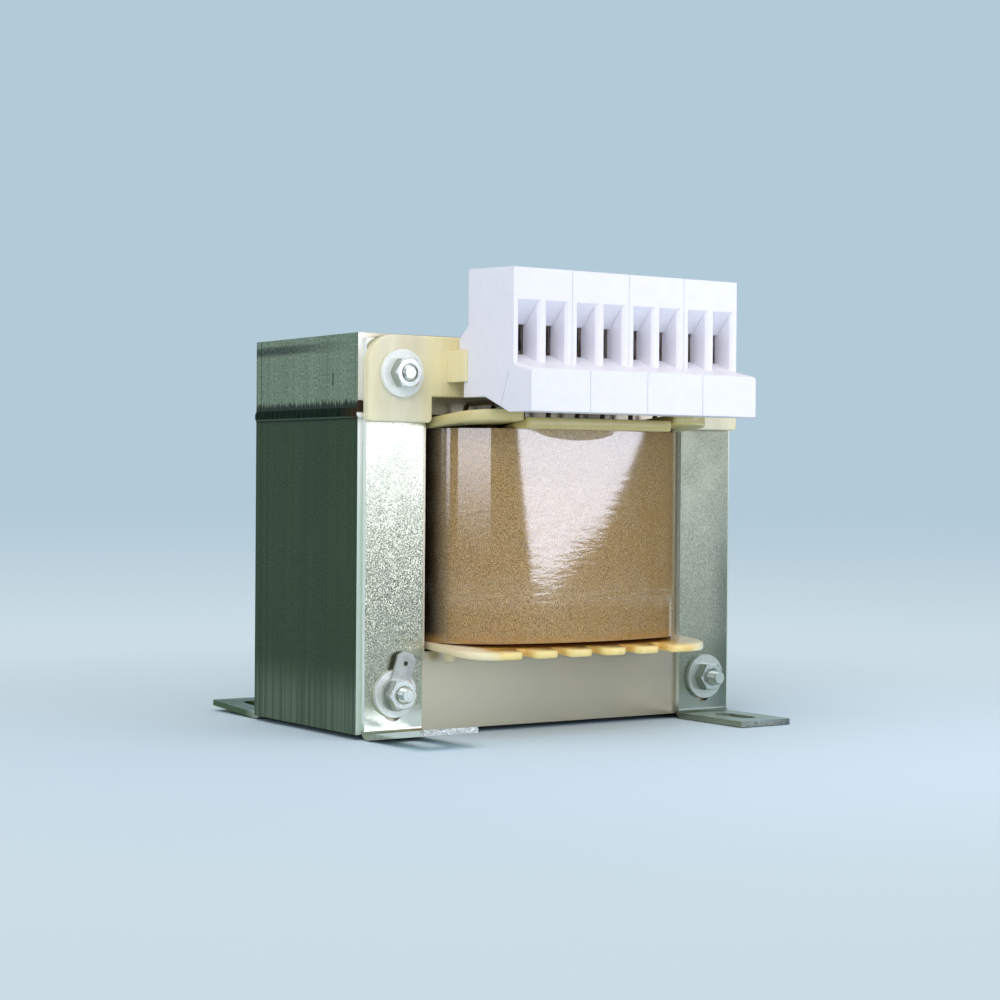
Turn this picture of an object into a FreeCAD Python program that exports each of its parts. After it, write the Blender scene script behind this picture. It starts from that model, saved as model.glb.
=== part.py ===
import FreeCAD, Part
import math
import operator
import os
import Sketcher
from FreeCAD import Placement, Rotation, Vector

# Single-phase autotransformer: a welded E and I core with a wound coil on its centre leg,
# clamped between four bent steel feet, with a row of screw terminals along the top front edge.
#
# Millimetres. +X is right and -Y is the front, where the terminals face. +Z is up.
# The origin is the centre of the four foot slots, on the plane that the feet stand on.

SIZES = (
    ("core_width", 120.0, "core, left to right"),
    ("core_depth", 53.5, "stack of core sheets, front to back"),
    ("outer_leg", 20.0, "outer leg of the E sheets"),
    ("window_width", 20.0, "gap between centre leg and outer leg"),
    ("yoke_height", 20.0, "bottom bar of the E sheets, and the I sheets"),
    ("window_height", 60.0, "height of the window"),
    ("core_lift", 1.2, "underside of the core above the underside of the feet"),
    ("core_hole", 7.0, "clamp hole through the core, across"),
    ("hole_inset", 10.0, "clamp hole from the edges of the core"),
    ("weld_width", 2.8, "weld along the joint between E and I sheets"),
    ("weld_proud", 0.4, "height of that weld above the core"),
    ("drop_width", 1.9, "weld metal that ran out at the front left corner, its width"),
    ("drop_height", 4.4, "height of that drop"),
    ("drop_low", 1.2, "bottom of that drop below the joint"),
    ("drop_proud", 0.8, "how far that drop stands out"),
    ("strap_width", 16.8, "foot strap, width"),
    ("strap_thick", 1.5, "foot strap, thickness"),
    ("strap_drop", 1.3, "top of the strap below the top of the core"),
    ("strap_hole", 5.0, "round upper hole of the strap, across"),
    ("strap_slot_width", 5.8, "upright slot at the lower clamp bolt, width"),
    ("strap_slot_length", 11.0, "upright slot at the lower clamp bolt, end to end"),
    ("strap_slot_shift", 1.5, "middle of that slot below the bolt"),
    ("bend_radius", 2.5, "outside of the bend from strap to foot"),
    ("foot_reach", 28.2, "tip of the foot from the face of the core"),
    ("foot_corner", 0.6, "rounding of the foot's corners"),
    ("foot_slot_reach", 15.25, "middle of the foot slot from the face of the core"),
    ("foot_slot_width", 5.2, "foot slot, width"),
    ("foot_slot_length", 14.0, "foot slot, end to end"),
    ("front_left_rise", 8.0, "degrees that the front left foot is bent up"),
    ("rear_left_rise", 3.0, "degrees that the rear left foot is bent up"),
    ("bolt_across", 4.0, "clamp bolt, across"),
    ("bolt_length", 65.0, "clamp bolt under its head"),
    ("head_thick", 2.8, "hexagon head of the clamp bolt"),
    ("hexagon", 7.0, "bolt head and nut, across flats"),
    ("nut_thick", 3.2, "nut"),
    ("thread_gap", 0.05, "clearance of bolt and nut"),
    ("washer_across", 12.0, "large washer, across"),
    ("washer_hole", 4.3, "large washer, hole across"),
    ("washer_thick", 1.2, "large washer, thickness"),
    ("tab_thick", 0.8, "earth tab, sheet"),
    ("tab_width", 5.5, "earth tab, blade width"),
    ("tab_reach", 10.7, "end of the blade from the bolt"),
    ("tab_bevel", 1.3, "bevelled corners of the blade"),
    ("tab_ring", 8.6, "earth tab, ring across"),
    ("tab_lean", 17.6, "degrees that the blade leans to the right"),
    ("tab_dimple", 1.2, "latch hole in the blade, across"),
    ("tab_dimple_reach", 7.9, "latch hole from the bolt"),
    ("former_gap", 0.3, "coil former from the centre leg and the bottom yoke"),
    ("former_wall", 1.2, "tube of the coil former"),
    ("former_play", 0.6, "top of the coil former below the top yoke"),
    ("flange_thick", 2.0, "bottom flange of the coil former"),
    ("top_flange_thick", 2.8, "top flange of the coil former"),
    ("flange_side_gap", 1.1, "flange from the outer leg of the core"),
    ("flange_reach", 47.5, "flange tip from the middle of the core"),
    ("flange_corner", 9.0, "rounding of the outer lobes"),
    ("flange_droop", 1.6, "tips of the bottom flange below its root"),
    ("lobe_rise", 1.9, "tips of the top flange's outer lobes above its root"),
    ("lobe_gap", 0.8, "slit between the top flange's middle and its lobes"),
    ("lobe_root", 2.5, "start of that slit beyond the leads"),
    ("lobe_width", 15.8, "outer lobe of a flange, beside the comb's last slot"),
    ("comb_slot", 3.0, "slot in the flange, width"),
    ("comb_depth", 5.0, "slot in the flange, depth"),
    ("tooth_round", 2.0, "rounding of the teeth"),
    ("peg_length", 3.0, "tapered wire peg under each left lobe of the bottom flange"),
    ("peg_across", 5.4, "wire peg, across at its root"),
    ("peg_taper", 24.0, "degrees that the wire peg's side leans inwards"),
    ("peg_side", 3.9, "middle of the wire peg from the side of the flange"),
    ("peg_gap", 1.4, "wire peg from the face of the core"),
    ("coil_side_gap", 1.5, "wrapped coil from the outer leg of the core"),
    ("coil_reach", 45.0, "front of the wrapped coil from the middle of the core"),
    ("coil_crown", 90.0, "radius of the bulging front and back of the coil"),
    ("coil_corner", 19.0, "radius of the coil's corners"),
    ("paper_thick", 0.5, "brown paper wrapped round the winding"),
    ("film_thick", 0.2, "clear film over the paper"),
    ("ear_thick", 2.5, "terminal carrier, sheet"),
    ("ear_width", 18.7, "ear of the carrier"),
    ("ear_overhang", 0.7, "ear from the side of the core"),
    ("ear_low", 2.2, "bottom of the ear below the joint of the core"),
    ("ear_top", 0.4, "top of the carrier below the top of the core"),
    ("ear_round", 7.5, "rounded outer top corner of the ear"),
    ("ear_hole", 4.5, "hole in the ear, across"),
    ("arm_low", 4.4, "bottom of the arm above the joint of the core"),
    ("rail_low", 8.1, "bottom of the rail above the joint of the core"),
    ("rail_height", 8.0, "rail that carries the terminals"),
    ("rail_length", 72.6, "rail, left to right"),
    ("rail_proud", 7.95, "rail in front of the carrier"),
    ("module_width", 17.65, "one two-pole terminal"),
    ("module_gap", 0.06, "seam between terminals"),
    ("module_depth", 19.9, "terminal, upper part"),
    ("module_height", 32.0, "terminal, rear foot to top"),
    ("top_slope", 0.8, "fall of the top towards the front"),
    ("lip_proud", 7.8, "lower lip in front of the upper part"),
    ("lip_height", 10.4, "lower lip, front face"),
    ("lip_slope", 1.7, "rise of the lip's top towards the upper part"),
    ("lip_drop", 4.0, "underside of the lip below the rear foot"),
    ("belly_reach", 7.6, "flat rear part of the underside"),
    ("belly_lip", 18.3, "start of the lip's flat underside from the rear face"),
    ("lip_round", 1.0, "rounding of the lip's side edges"),
    ("nose_reach", 4.0, "hook over the rail, how far it reaches back"),
    ("nose_height", 2.6, "hook over the rail, its blunt end"),
    ("nose_slope", 3.4, "hook over the rail, its sloping back"),
    ("heel_reach", 1.8, "heel under the rail, how far it reaches back"),
    ("pole_offset", 4.13, "each pole from the middle of its terminal"),
    ("funnel_width", 6.6, "wire entry, width"),
    ("funnel_height", 15.3, "wire entry, height at the front"),
    ("funnel_low", 8.1, "bottom of the wire entry above the rear foot"),
    ("funnel_depth", 5.6, "wire entry, depth of its sloping part"),
    ("funnel_bevel", 0.6, "bevel down the right edge of the wire entry"),
    ("throat_width", 5.6, "straight inner part of the wire entry, width"),
    ("throat_height", 7.4, "straight inner part of the wire entry, height"),
    ("throat_low", 2.2, "step from the entry's floor up to the inner part"),
    ("throat_depth", 10.0, "straight inner part of the wire entry, depth"),
    ("cage_back", 0.9, "clamp cage behind the mouth of the inner part"),
    ("cage_depth", 5.4, "clamp cage, front to back"),
    ("cage_gap", 0.1, "clamp cage from its housing"),
    ("cage_wall", 0.8, "clamp cage, sheet"),
    ("well_across", 4.4, "screwdriver well, across"),
    ("screw_head", 3.9, "clamp screw, head across"),
    ("screw_shank", 2.4, "clamp screw, shank across"),
    ("screw_head_thick", 2.0, "clamp screw, head"),
    ("screw_slot", 0.7, "clamp screw, slot width"),
    ("screw_slot_depth", 0.9, "clamp screw, slot depth"),
    ("lug_thick", 0.8, "solder lug, sheet"),
    ("lug_width", 2.6, "solder lug, width"),
    ("lug_gap", 0.1, "solder lug in its slot"),
    ("lug_tail", 2.4, "solder lug below the terminal"),
    ("lead_across", 1.3, "winding lead, across"),
    ("lead_bend", 2.4, "winding lead, radius of its bend"),
    ("lead_reach", 30.5, "where the leads leave the coil, from the middle of the core"),
    ("lead_hole", 2.2, "hole in the flange for a lead, across"),
)


class Size:
    """A length or an angle that carries its number and its formula on the sheet."""

    signs = {"+": operator.add, "-": operator.sub, "*": operator.mul, "/": operator.truediv}

    def __init__(self, number, text=None):
        self.number = float(number)
        self.text = text if text else repr(self.number)

    def join(self, sign, other, swapped=False):
        other = other if isinstance(other, Size) else Size(other)
        left, right = (other, self) if swapped else (self, other)
        number = Size.signs[sign](left.number, right.number)
        return Size(number, "(%s %s %s)" % (left.text, sign, right.text))

    def __add__(self, other):
        return self.join("+", other)

    def __radd__(self, other):
        return self.join("+", other, True)

    def __sub__(self, other):
        return self.join("-", other)

    def __rsub__(self, other):
        return self.join("-", other, True)

    def __mul__(self, other):
        return self.join("*", other)

    def __rmul__(self, other):
        return self.join("*", other, True)

    def __truediv__(self, other):
        return self.join("/", other)

    def __neg__(self):
        return self.join("*", -1.0)

    def __float__(self):
        return self.number


def root(size):
    return Size(math.sqrt(size.number), "sqrt(%s)" % size.text)


def sine(angle):
    return Size(math.sin(math.radians(angle.number)), "sin(%s * 1 deg)" % angle.text)


def cosine(angle):
    return Size(math.cos(math.radians(angle.number)), "cos(%s * 1 deg)" % angle.text)


doc = FreeCAD.newDocument("autotransformer")
sheet = doc.addObject("Spreadsheet::Sheet", "Sizes")
table = {}
for row, (alias, number, note) in enumerate(SIZES, start=1):
    sheet.set("A%d" % row, note)
    sheet.set("B%d" % row, str(number))
    sheet.setAlias("B%d" % row, alias)
    table[alias] = Size(number, "Sizes.%s" % alias)
doc.recompute()


def size(alias):
    return table[alias]


ZERO = Size(0.0)


def as_size(amount):
    return amount if isinstance(amount, Size) else Size(amount)


def bind(item, name, amount):
    """Sets one property to a formula of the sheet."""
    item.setExpression(name, as_size(amount).text)


def new_body(label):
    body = doc.addObject("PartDesign::Body", label)
    body.Label = label
    return body


def new_sketch(body, role, offset=ZERO):
    """A sketch on one of the body's own planes, moved along that plane's normal."""
    item = body.newObject("Sketcher::SketchObject", body.Name + "_sketch")
    item.AttachmentSupport = [(face, "") for face in body.Origin.OriginFeatures if face.Role == role]
    item.MapMode = "FlatFace"
    item.AttachmentOffset = Placement(Vector(0, 0, float(offset)), Rotation())
    bind(item, "AttachmentOffset.Base.z", offset)
    return item


def hold(item, geometry, point, across, up):
    """Ties one point of a sketch to two formulas."""
    for kind, amount in (("DistanceX", across), ("DistanceY", up)):
        if amount is not None:
            amount = as_size(amount)
            rule = Sketcher.Constraint(kind, -1, 1, geometry, point, float(amount))
            bind(item, "Constraints[%d]" % item.addConstraint(rule), amount)


def outline(item, corners, centres=None):
    """A closed outline. centres gives the middle of each stretch that is an arc."""
    centres = centres or {}
    corners = [(as_size(x), as_size(y)) for x, y in corners]
    flat = [Vector(float(x), float(y), 0) for x, y in corners]
    count = len(flat)
    first = item.GeometryCount
    for index in range(count):
        start, end = flat[index], flat[(index + 1) % count]
        if index not in centres:
            item.addGeometry(Part.LineSegment(start, end))
            continue
        middle = Vector(float(centres[index][0]), float(centres[index][1]), 0)
        radius = (start - middle).Length
        half_way = start - middle + end - middle
        if half_way.Length < radius * 1e-6:
            half_way = Vector(start.y - end.y, end.x - start.x, 0)
            half_way = half_way * centres[index][2]
        half_way.normalize()
        item.addGeometry(Part.Arc(start, middle + half_way * radius, end))
    for index in range(count):
        after = (index + 1) % count
        ends = []
        for stretch in (index, after):
            geometry = first + stretch
            begin = item.getPoint(geometry, 1)
            ends.append((geometry, 1 if (begin - flat[after]).Length < 1e-6 else 2))
        item.addConstraint(Sketcher.Constraint("Coincident", *ends[0], *ends[1]))
        across, up = corners[after]
        hold(item, ends[1][0], ends[1][1], across, up)
    for index, centre in centres.items():
        chord = flat[(index + 1) % count] - flat[index]
        if abs(chord.y) > abs(chord.x):
            hold(item, first + index, 3, centre[0], None)
        else:
            hold(item, first + index, 3, None, centre[1])


def rectangle(item, left, low, right, high):
    outline(item, [(left, low), (right, low), (right, high), (left, high)])


def circle(item, across, up, diameter):
    centre = Vector(float(across), float(up), 0)
    geometry = item.addGeometry(Part.Circle(centre, Vector(0, 0, 1), float(diameter) / 2))
    hold(item, geometry, 3, across, up)
    rule = Sketcher.Constraint("Diameter", geometry, float(diameter))
    bind(item, "Constraints[%d]" % item.addConstraint(rule), diameter)


def upright_slot(item, across, up, width, length):
    """A slot with round ends that runs along the sketch's second axis."""
    left, right = across - width / 2, across + width / 2
    high, low = up + (length - width) / 2, up - (length - width) / 2
    corners = [(left, low), (right, low), (right, high), (left, high)]
    outline(item, corners, {0: (across, low, -1), 2: (across, high, -1)})


def hexagon(item, across, up, flats):
    """A hexagon with a corner to the left and one to the right."""
    long_half = flats / root(Size(3.0))
    corners = [(across + long_half, up), (across + long_half / 2, up + flats / 2)]
    corners += [(across - long_half / 2, up + flats / 2), (across - long_half, up)]
    corners += [(across - long_half / 2, up - flats / 2), (across + long_half / 2, up - flats / 2)]
    outline(item, corners)


def feature(body, kind, sketch, length=None, side="One side", back=False):
    """A pad or a pocket. Without a length, a pocket goes through everything, both ways."""
    item = body.newObject("PartDesign::" + kind, body.Name + "_" + kind.lower())
    item.Profile = sketch
    if length is None:
        item.Type = "ThroughAll"
        item.Midplane = True
    else:
        item.Length = float(length)
        bind(item, "Length", length)
        item.SideType = side
        item.Reversed = back
    sketch.Visibility = False
    doc.recompute()
    return item


def pad(body, sketch, length, side="One side", back=False):
    return feature(body, "Pad", sketch, length, side, back)


def pocket(body, sketch, length=None, side="One side", back=False):
    before = body.Shape.Volume
    item = feature(body, "Pocket", sketch, length, side, back)
    if not body.Shape.Volume < before:
        raise RuntimeError("%s: a pocket cuts nothing" % body.Label)
    return item


def round_edges(body, radius, wanted):
    """Rounds the edges of the newest feature that the test picks."""
    base = body.Tip
    names = ["Edge%d" % n for n, edge in enumerate(base.Shape.Edges, start=1) if wanted(edge)]
    if not names:
        raise RuntimeError("%s: no edge to round" % body.Label)
    item = body.newObject("PartDesign::Fillet", body.Name + "_fillet")
    item.Base = (base, names)
    item.Radius = float(radius)
    bind(item, "Radius", radius)
    doc.recompute()
    return item


def near(one, other, slack=1e-4):
    return abs(float(one) - float(other)) < slack


def runs_along(edge, axis):
    """True for a straight edge along X, Y or Z."""
    if len(edge.Vertexes) != 2 or not isinstance(edge.Curve, (Part.Line, Part.LineSegment)):
        return False
    step = edge.Vertexes[1].Point - edge.Vertexes[0].Point
    return abs(abs(step["XYZ".index(axis)]) - step.Length) < 1e-6


# Heights and depths that several pieces share
core_low = size("core_lift")
joint = core_low + size("yoke_height") + size("window_height")
core_top = joint + size("yoke_height")
core_side = size("core_width") / 2
core_face = size("core_depth") / 2
window_edge = core_side - size("outer_leg")
leg_half = window_edge - size("window_width")
window_low = core_low + size("yoke_height")
bolt_across = core_side - size("hole_inset")
bolt_low = core_low + size("hole_inset")
bolt_high = core_top - size("hole_inset")
strap_face = core_face + size("strap_thick")
ear_face = strap_face + size("ear_thick")
rail_face = ear_face + size("rail_proud")


def make_core():
    """E sheets with their legs up, and the I sheets that close them, as two stacks."""
    body = new_body("e_core")
    sheet_shape = new_sketch(body, "XZ_Plane")
    right = [(core_side, core_low), (core_side, joint), (window_edge, joint), (window_edge, window_low)]
    right += [(leg_half, window_low), (leg_half, joint)]
    left = [(-x, z) for x, z in reversed(right)]
    outline(sheet_shape, right + left)
    pad(body, sheet_shape, size("core_depth"), "Symmetric")
    holes = new_sketch(body, "XZ_Plane")
    for side in (-1, 1):
        circle(holes, bolt_across * side, bolt_low, size("core_hole"))
    pocket(body, holes)

    body = new_body("i_core")
    sheet_shape = new_sketch(body, "XZ_Plane")
    rectangle(sheet_shape, -core_side, joint, core_side, core_top)
    pad(body, sheet_shape, size("core_depth"), "Symmetric")
    holes = new_sketch(body, "XZ_Plane")
    for side in (-1, 1):
        circle(holes, bolt_across * side, bolt_high, size("core_hole"))
    pocket(body, holes)


def make_weld(label, side, with_drop):
    """A low bead along the joint, on one side of the core."""
    body = new_body(label)
    half, proud = size("weld_width") / 2, size("weld_proud")
    radius = (half * half + proud * proud) / (proud * 2)
    face = core_side * side
    bead = new_sketch(body, "XZ_Plane")
    middle = (face - (radius - proud) * side, joint, 1)
    outline(bead, [(face, joint - half), (face, joint + half)], {0: middle})
    pad(body, bead, size("core_depth"), "Symmetric")
    if with_drop:
        drop = new_sketch(body, "XZ_Plane", core_face)
        across = face + (proud - size("drop_width") / 2) * side
        up = joint - size("drop_low") + size("drop_height") / 2
        upright_slot(drop, across, up, size("drop_width"), size("drop_height"))
        pad(body, drop, size("drop_proud"))
        reach = core_face + size("drop_proud")
        rim = lambda edge: all(near(p.Y, -reach.number) for p in edge.Vertexes)
        round_edges(body, size("drop_proud") * 0.4, rim)


def make_strap(label, across, front, rise):
    """A flat bar that lies on the core and bends outwards into a foot. Built as a rear one."""
    body = new_body(label)
    thick, bend, reach = size("strap_thick"), size("bend_radius"), size("foot_reach")
    climb = (1 + sine(rise)) / cosine(rise)
    heel = bend * (1 - climb)
    top = core_top - size("strap_drop")
    tip_under = (reach * cosine(rise), heel + reach * sine(rise))
    tip_over = (tip_under[0] - thick * sine(rise), tip_under[1] + thick * cosine(rise))
    corners = [(ZERO, heel), tip_under, tip_over, (thick, heel + thick * climb), (thick, top), (ZERO, top)]
    profile = new_sketch(body, "YZ_Plane")
    outline(profile, corners)
    pad(body, profile, size("strap_width"), "Symmetric")
    outer = lambda edge: (runs_along(edge, "X") and near(edge.Vertexes[0].Y, 0)
                          and near(edge.Vertexes[0].Z, heel))
    round_edges(body, bend, outer)
    inner = lambda edge: (runs_along(edge, "X") and near(edge.Vertexes[0].Y, thick)
                          and near(edge.Vertexes[0].Z, heel + thick * climb))
    round_edges(body, bend - thick, inner)
    past = tip_over[0].number - 0.01
    tip = lambda edge: not runs_along(edge, "X") and all(p.Y > past for p in edge.Vertexes)
    round_edges(body, size("foot_corner"), tip)
    foot_slot = new_sketch(body, "XY_Plane")
    upright_slot(foot_slot, ZERO, size("foot_slot_reach"), size("foot_slot_width"), size("foot_slot_length"))
    pocket(body, foot_slot)
    holes = new_sketch(body, "XZ_Plane")
    circle(holes, ZERO, bolt_high, size("strap_hole"))
    slot_middle = bolt_low - size("strap_slot_shift")
    upright_slot(holes, ZERO, slot_middle, size("strap_slot_width"), size("strap_slot_length"))
    pocket(body, holes, thick * 2, "Symmetric")
    body.Placement = Placement(Vector(0, 0, 0), Rotation(180 if front else 0, 0, 0))
    bind(body, "Placement.Base.x", bolt_across * across)
    bind(body, "Placement.Base.y", -core_face if front else core_face)


def corner_sites():
    """Each clamp bolt: its side, its height and the front face that its washer lies on."""
    for side in (-1, 1):
        yield side, bolt_low, strap_face
        yield side, bolt_high, ear_face


def make_fasteners():
    """Four bolts from the back, each with a washer at both ends and a nut at the front."""
    across, flats = size("bolt_across"), size("hexagon")
    washer, nut = size("washer_thick"), size("nut_thick")
    under_head = strap_face + washer
    bolts = new_body("clamp_bolts")
    shanks = new_sketch(bolts, "XZ_Plane", -under_head)
    heads = new_sketch(bolts, "XZ_Plane", -under_head)
    rear = new_body("rear_washers")
    rear_rings = new_sketch(rear, "XZ_Plane", -strap_face)
    front = new_body("front_washers")
    nuts = new_body("front_nuts")
    for side, height, face in corner_sites():
        x = bolt_across * side
        circle(shanks, x, height, across)
        hexagon(heads, x, height, flats)
        circle(rear_rings, x, height, size("washer_across"))
        circle(rear_rings, x, height, size("washer_hole"))
        rings = new_sketch(front, "XZ_Plane", face)
        circle(rings, x, height, size("washer_across"))
        circle(rings, x, height, size("washer_hole"))
        pad(front, rings, washer)
        seat = face + washer
        if side < 0 and height is bolt_low:
            seat = seat + size("tab_thick")
        flat_nut = new_sketch(nuts, "XZ_Plane", seat)
        hexagon(flat_nut, x, height, flats)
        circle(flat_nut, x, height, across + size("thread_gap") * 2)
        pad(nuts, flat_nut, nut)
    pad(bolts, heads, size("head_thick"), back=True)
    pad(bolts, shanks, size("bolt_length"))
    pad(rear, rear_rings, washer, back=True)


def make_earth_tab():
    """A ring under the lower left nut with a flat blade for a push-on connector."""
    body = new_body("earth_tab")
    ring = new_sketch(body, "XZ_Plane")
    circle(ring, ZERO, ZERO, size("tab_ring"))
    pad(body, ring, size("tab_thick"))
    half, reach, bevel = size("tab_width") / 2, size("tab_reach"), size("tab_bevel")
    blade = new_sketch(body, "XZ_Plane")
    corners = [(-half, ZERO), (half, ZERO), (half, reach - bevel), (half - bevel, reach)]
    corners += [(bevel - half, reach), (-half, reach - bevel)]
    outline(blade, corners)
    pad(body, blade, size("tab_thick"))
    holes = new_sketch(body, "XZ_Plane")
    circle(holes, ZERO, ZERO, size("washer_hole"))
    circle(holes, ZERO, size("tab_dimple_reach"), size("tab_dimple"))
    pocket(body, holes)
    body.Placement = Placement(Vector(0, 0, 0), Rotation(Vector(0, 1, 0), size("tab_lean").number))
    bind(body, "Placement.Rotation.Angle", size("tab_lean"))
    bind(body, "Placement.Base.x", -bolt_across)
    bind(body, "Placement.Base.y", -(strap_face + size("washer_thick")))
    bind(body, "Placement.Base.z", bolt_low)


def pole_places():
    """The middle of each pole, left to right."""
    for number in range(4):
        middle = size("module_width") * (number - 1.5)
        yield middle - size("pole_offset")
        yield middle + size("pole_offset")


former_low = window_low + size("former_gap")
former_high = joint - size("former_play")
tube_half_width = leg_half + size("former_gap") + size("former_wall")
tube_half_depth = core_face + size("former_gap") + size("former_wall")
winding_low = former_low + size("flange_thick")
winding_high = former_high - size("top_flange_thick")


def flange_profile(item, low, high, change):
    """Side view of a flange whose ends beyond the core slope by the given change."""
    tip = size("flange_reach")
    start = core_face + size("former_gap")
    outline(item, [(-tip, low + change), (-start, low), (start, low), (tip, low + change),
                   (tip, high + change), (start, high), (-start, high), (-tip, high + change)])


def make_former():
    """A moulded tube round the centre leg, with a comb flange below and a lobed one above."""
    body = new_body("coil_former")
    tip, width = size("flange_reach"), window_edge - size("flange_side_gap")
    tube = new_sketch(body, "XY_Plane", former_low)
    rectangle(tube, -tube_half_width, -tube_half_depth, tube_half_width, tube_half_depth)
    pad(body, tube, former_high - former_low)

    comb = new_sketch(body, "YZ_Plane")
    flange_profile(comb, former_low, winding_low, -size("flange_droop"))
    pad(body, comb, width * 2, "Symmetric")
    lobes = new_sketch(body, "YZ_Plane")
    flange_profile(lobes, winding_high, former_high, size("lobe_rise"))
    pad(body, lobes, width * 2, "Symmetric")
    # The middle of the top flange stays level, and a slit parts it from each rising lobe
    middle = width - size("lobe_width")
    middle_start = core_face + size("former_gap")
    slit_start = size("lead_reach") + size("lobe_root")
    clearing = new_sketch(body, "XY_Plane", winding_high)
    for end in (-1, 1):
        ends = sorted((middle_start * end, (tip + 1) * end), key=float)
        rectangle(clearing, -middle, ends[0], middle, ends[1])
    over_lobes = size("top_flange_thick") + size("lobe_rise") + 1
    pocket(body, clearing, over_lobes, back=True)
    apron = new_sketch(body, "XY_Plane", winding_high)
    rectangle(apron, -middle, -tip, middle, tip)
    pad(body, apron, size("top_flange_thick"))
    slits = new_sketch(body, "XY_Plane", winding_high)
    for side in (-1, 1):
        across = sorted((middle * side, (middle + size("lobe_gap")) * side), key=float)
        for end in (-1, 1):
            ends = sorted((slit_start * end, (tip + 1) * end), key=float)
            rectangle(slits, across[0], ends[0], across[1], ends[1])
    pocket(body, slits, over_lobes, back=True)

    slots = new_sketch(body, "XY_Plane", former_low + size("flange_thick") * 1.5)
    half_slot = size("comb_slot") / 2
    pitch = (middle - half_slot) / 2
    floor = tip - size("comb_depth") + half_slot
    for number in range(-2, 3):
        x = pitch * number
        for end in (-1, 1):
            corners = [(x - half_slot, floor * end), (x - half_slot, (tip + 1) * end),
                       (x + half_slot, (tip + 1) * end), (x + half_slot, floor * end)]
            outline(slots, corners, {3: (x, floor * end, end)})
    pocket(body, slots, size("flange_thick") * 2 + size("flange_droop"))

    bore = new_sketch(body, "XY_Plane")
    inner_width, inner_depth = leg_half + size("former_gap"), core_face + size("former_gap")
    rectangle(bore, -inner_width, -inner_depth, inner_width, inner_depth)
    pocket(body, bore)

    holes = new_sketch(body, "XY_Plane", winding_high)
    for x in pole_places():
        circle(holes, x, -size("lead_reach"), size("lead_hole"))
    pocket(body, holes, over_lobes, back=True)

    at_tip = lambda edge: runs_along(edge, "Z") and near(abs(edge.Vertexes[0].Y), tip)
    lobe_corner = lambda edge: at_tip(edge) and near(abs(edge.Vertexes[0].X), width)
    tooth_corner = lambda edge: at_tip(edge) and edge.Vertexes[0].Z < winding_low.number
    round_edges(body, size("flange_corner"), lobe_corner)
    round_edges(body, size("tooth_round"), tooth_corner)
    round_edges(body, size("lobe_gap"), at_tip)

    pegs = new_sketch(body, "XY_Plane", former_low + size("flange_thick") / 4)
    peg_away = core_face + size("peg_gap") + size("peg_across") / 2
    for end in (-1, 1):
        circle(pegs, size("peg_side") - width, peg_away * end, size("peg_across"))
    cones = pad(body, pegs, size("peg_length") + size("flange_thick") / 4, back=True)
    cones.TaperAngle = -size("peg_taper").number
    bind(cones, "TaperAngle", -size("peg_taper"))
    doc.recompute()


def coil_outline(item, inset):
    """Plan view of the coil: straight in the windows, rounded corners, bulging front and back."""
    side = window_edge - size("coil_side_gap") - inset
    front = size("coil_reach") - inset
    crown = size("coil_crown") - inset
    corner = size("coil_corner") - inset
    corner_x = side - corner
    apart = crown - corner
    crown_y = crown - front
    drop = root(apart * apart - corner_x * corner_x)
    corner_y = drop - crown_y
    meet_x = crown * corner_x / apart
    meet_y = crown * drop / apart - crown_y
    corners = [(side, -corner_y), (side, corner_y), (meet_x, meet_y), (-meet_x, meet_y)]
    corners += [(-side, corner_y), (-side, -corner_y), (-meet_x, -meet_y), (meet_x, -meet_y)]
    centres = {1: (corner_x, corner_y), 2: (ZERO, -crown_y), 3: (-corner_x, corner_y)}
    centres.update({5: (-corner_x, -corner_y), 6: (ZERO, crown_y), 7: (corner_x, -corner_y)})
    outline(item, corners, centres)


def make_coil():
    """The winding and the two layers wrapped round it."""
    film, paper = size("film_thick"), size("paper_thick")
    layers = (("winding", film + paper, None), ("paper_wrap", film, film + paper), ("film_wrap", ZERO, film))
    for label, outer, inner in layers:
        body = new_body(label)
        ring = new_sketch(body, "XY_Plane", winding_low)
        coil_outline(ring, outer)
        pad(body, ring, winding_high - winding_low)
        hollow = new_sketch(body, "XY_Plane", winding_low)
        if inner is None:
            rectangle(hollow, -tube_half_width, -tube_half_depth, tube_half_width, tube_half_depth)
        else:
            coil_outline(hollow, inner)
        pocket(body, hollow, winding_high - winding_low, back=True)


def make_carrier():
    """A moulded bar in front of the straps, with an ear on each top bolt and a rail between."""
    body = new_body("terminal_carrier")
    outer = core_side - size("ear_overhang")
    inner = outer - size("ear_width")
    ear_low, top = joint - size("ear_low"), core_top - size("ear_top")
    arm_low = joint + size("arm_low")
    plate = new_sketch(body, "XZ_Plane", strap_face)
    outline(plate, [(-outer, ear_low), (-inner, ear_low), (-inner, arm_low), (inner, arm_low),
                    (inner, ear_low), (outer, ear_low), (outer, top), (-outer, top)])
    pad(body, plate, size("ear_thick"))
    shoulder = lambda edge: (runs_along(edge, "Y") and near(abs(edge.Vertexes[0].X), outer)
                             and near(edge.Vertexes[0].Z, top))
    round_edges(body, size("ear_round"), shoulder)
    foot = lambda edge: runs_along(edge, "Y") and near(edge.Vertexes[0].Z, ear_low)
    round_edges(body, size("ear_thick") / 2, foot)
    front_rim = lambda edge: all(near(p.Y, -ear_face.number) for p in edge.Vertexes)
    round_edges(body, size("ear_thick") / 5, front_rim)
    holes = new_sketch(body, "XZ_Plane", strap_face)
    for side in (-1, 1):
        circle(holes, bolt_across * side, bolt_high, size("ear_hole"))
    pocket(body, holes)
    rail = new_sketch(body, "XZ_Plane", strap_face)
    rail_low = joint + size("rail_low")
    half = size("rail_length") / 2
    rectangle(rail, -half, rail_low, half, rail_low + size("rail_height"))
    pad(body, rail, size("ear_thick") + size("rail_proud"))


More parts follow.
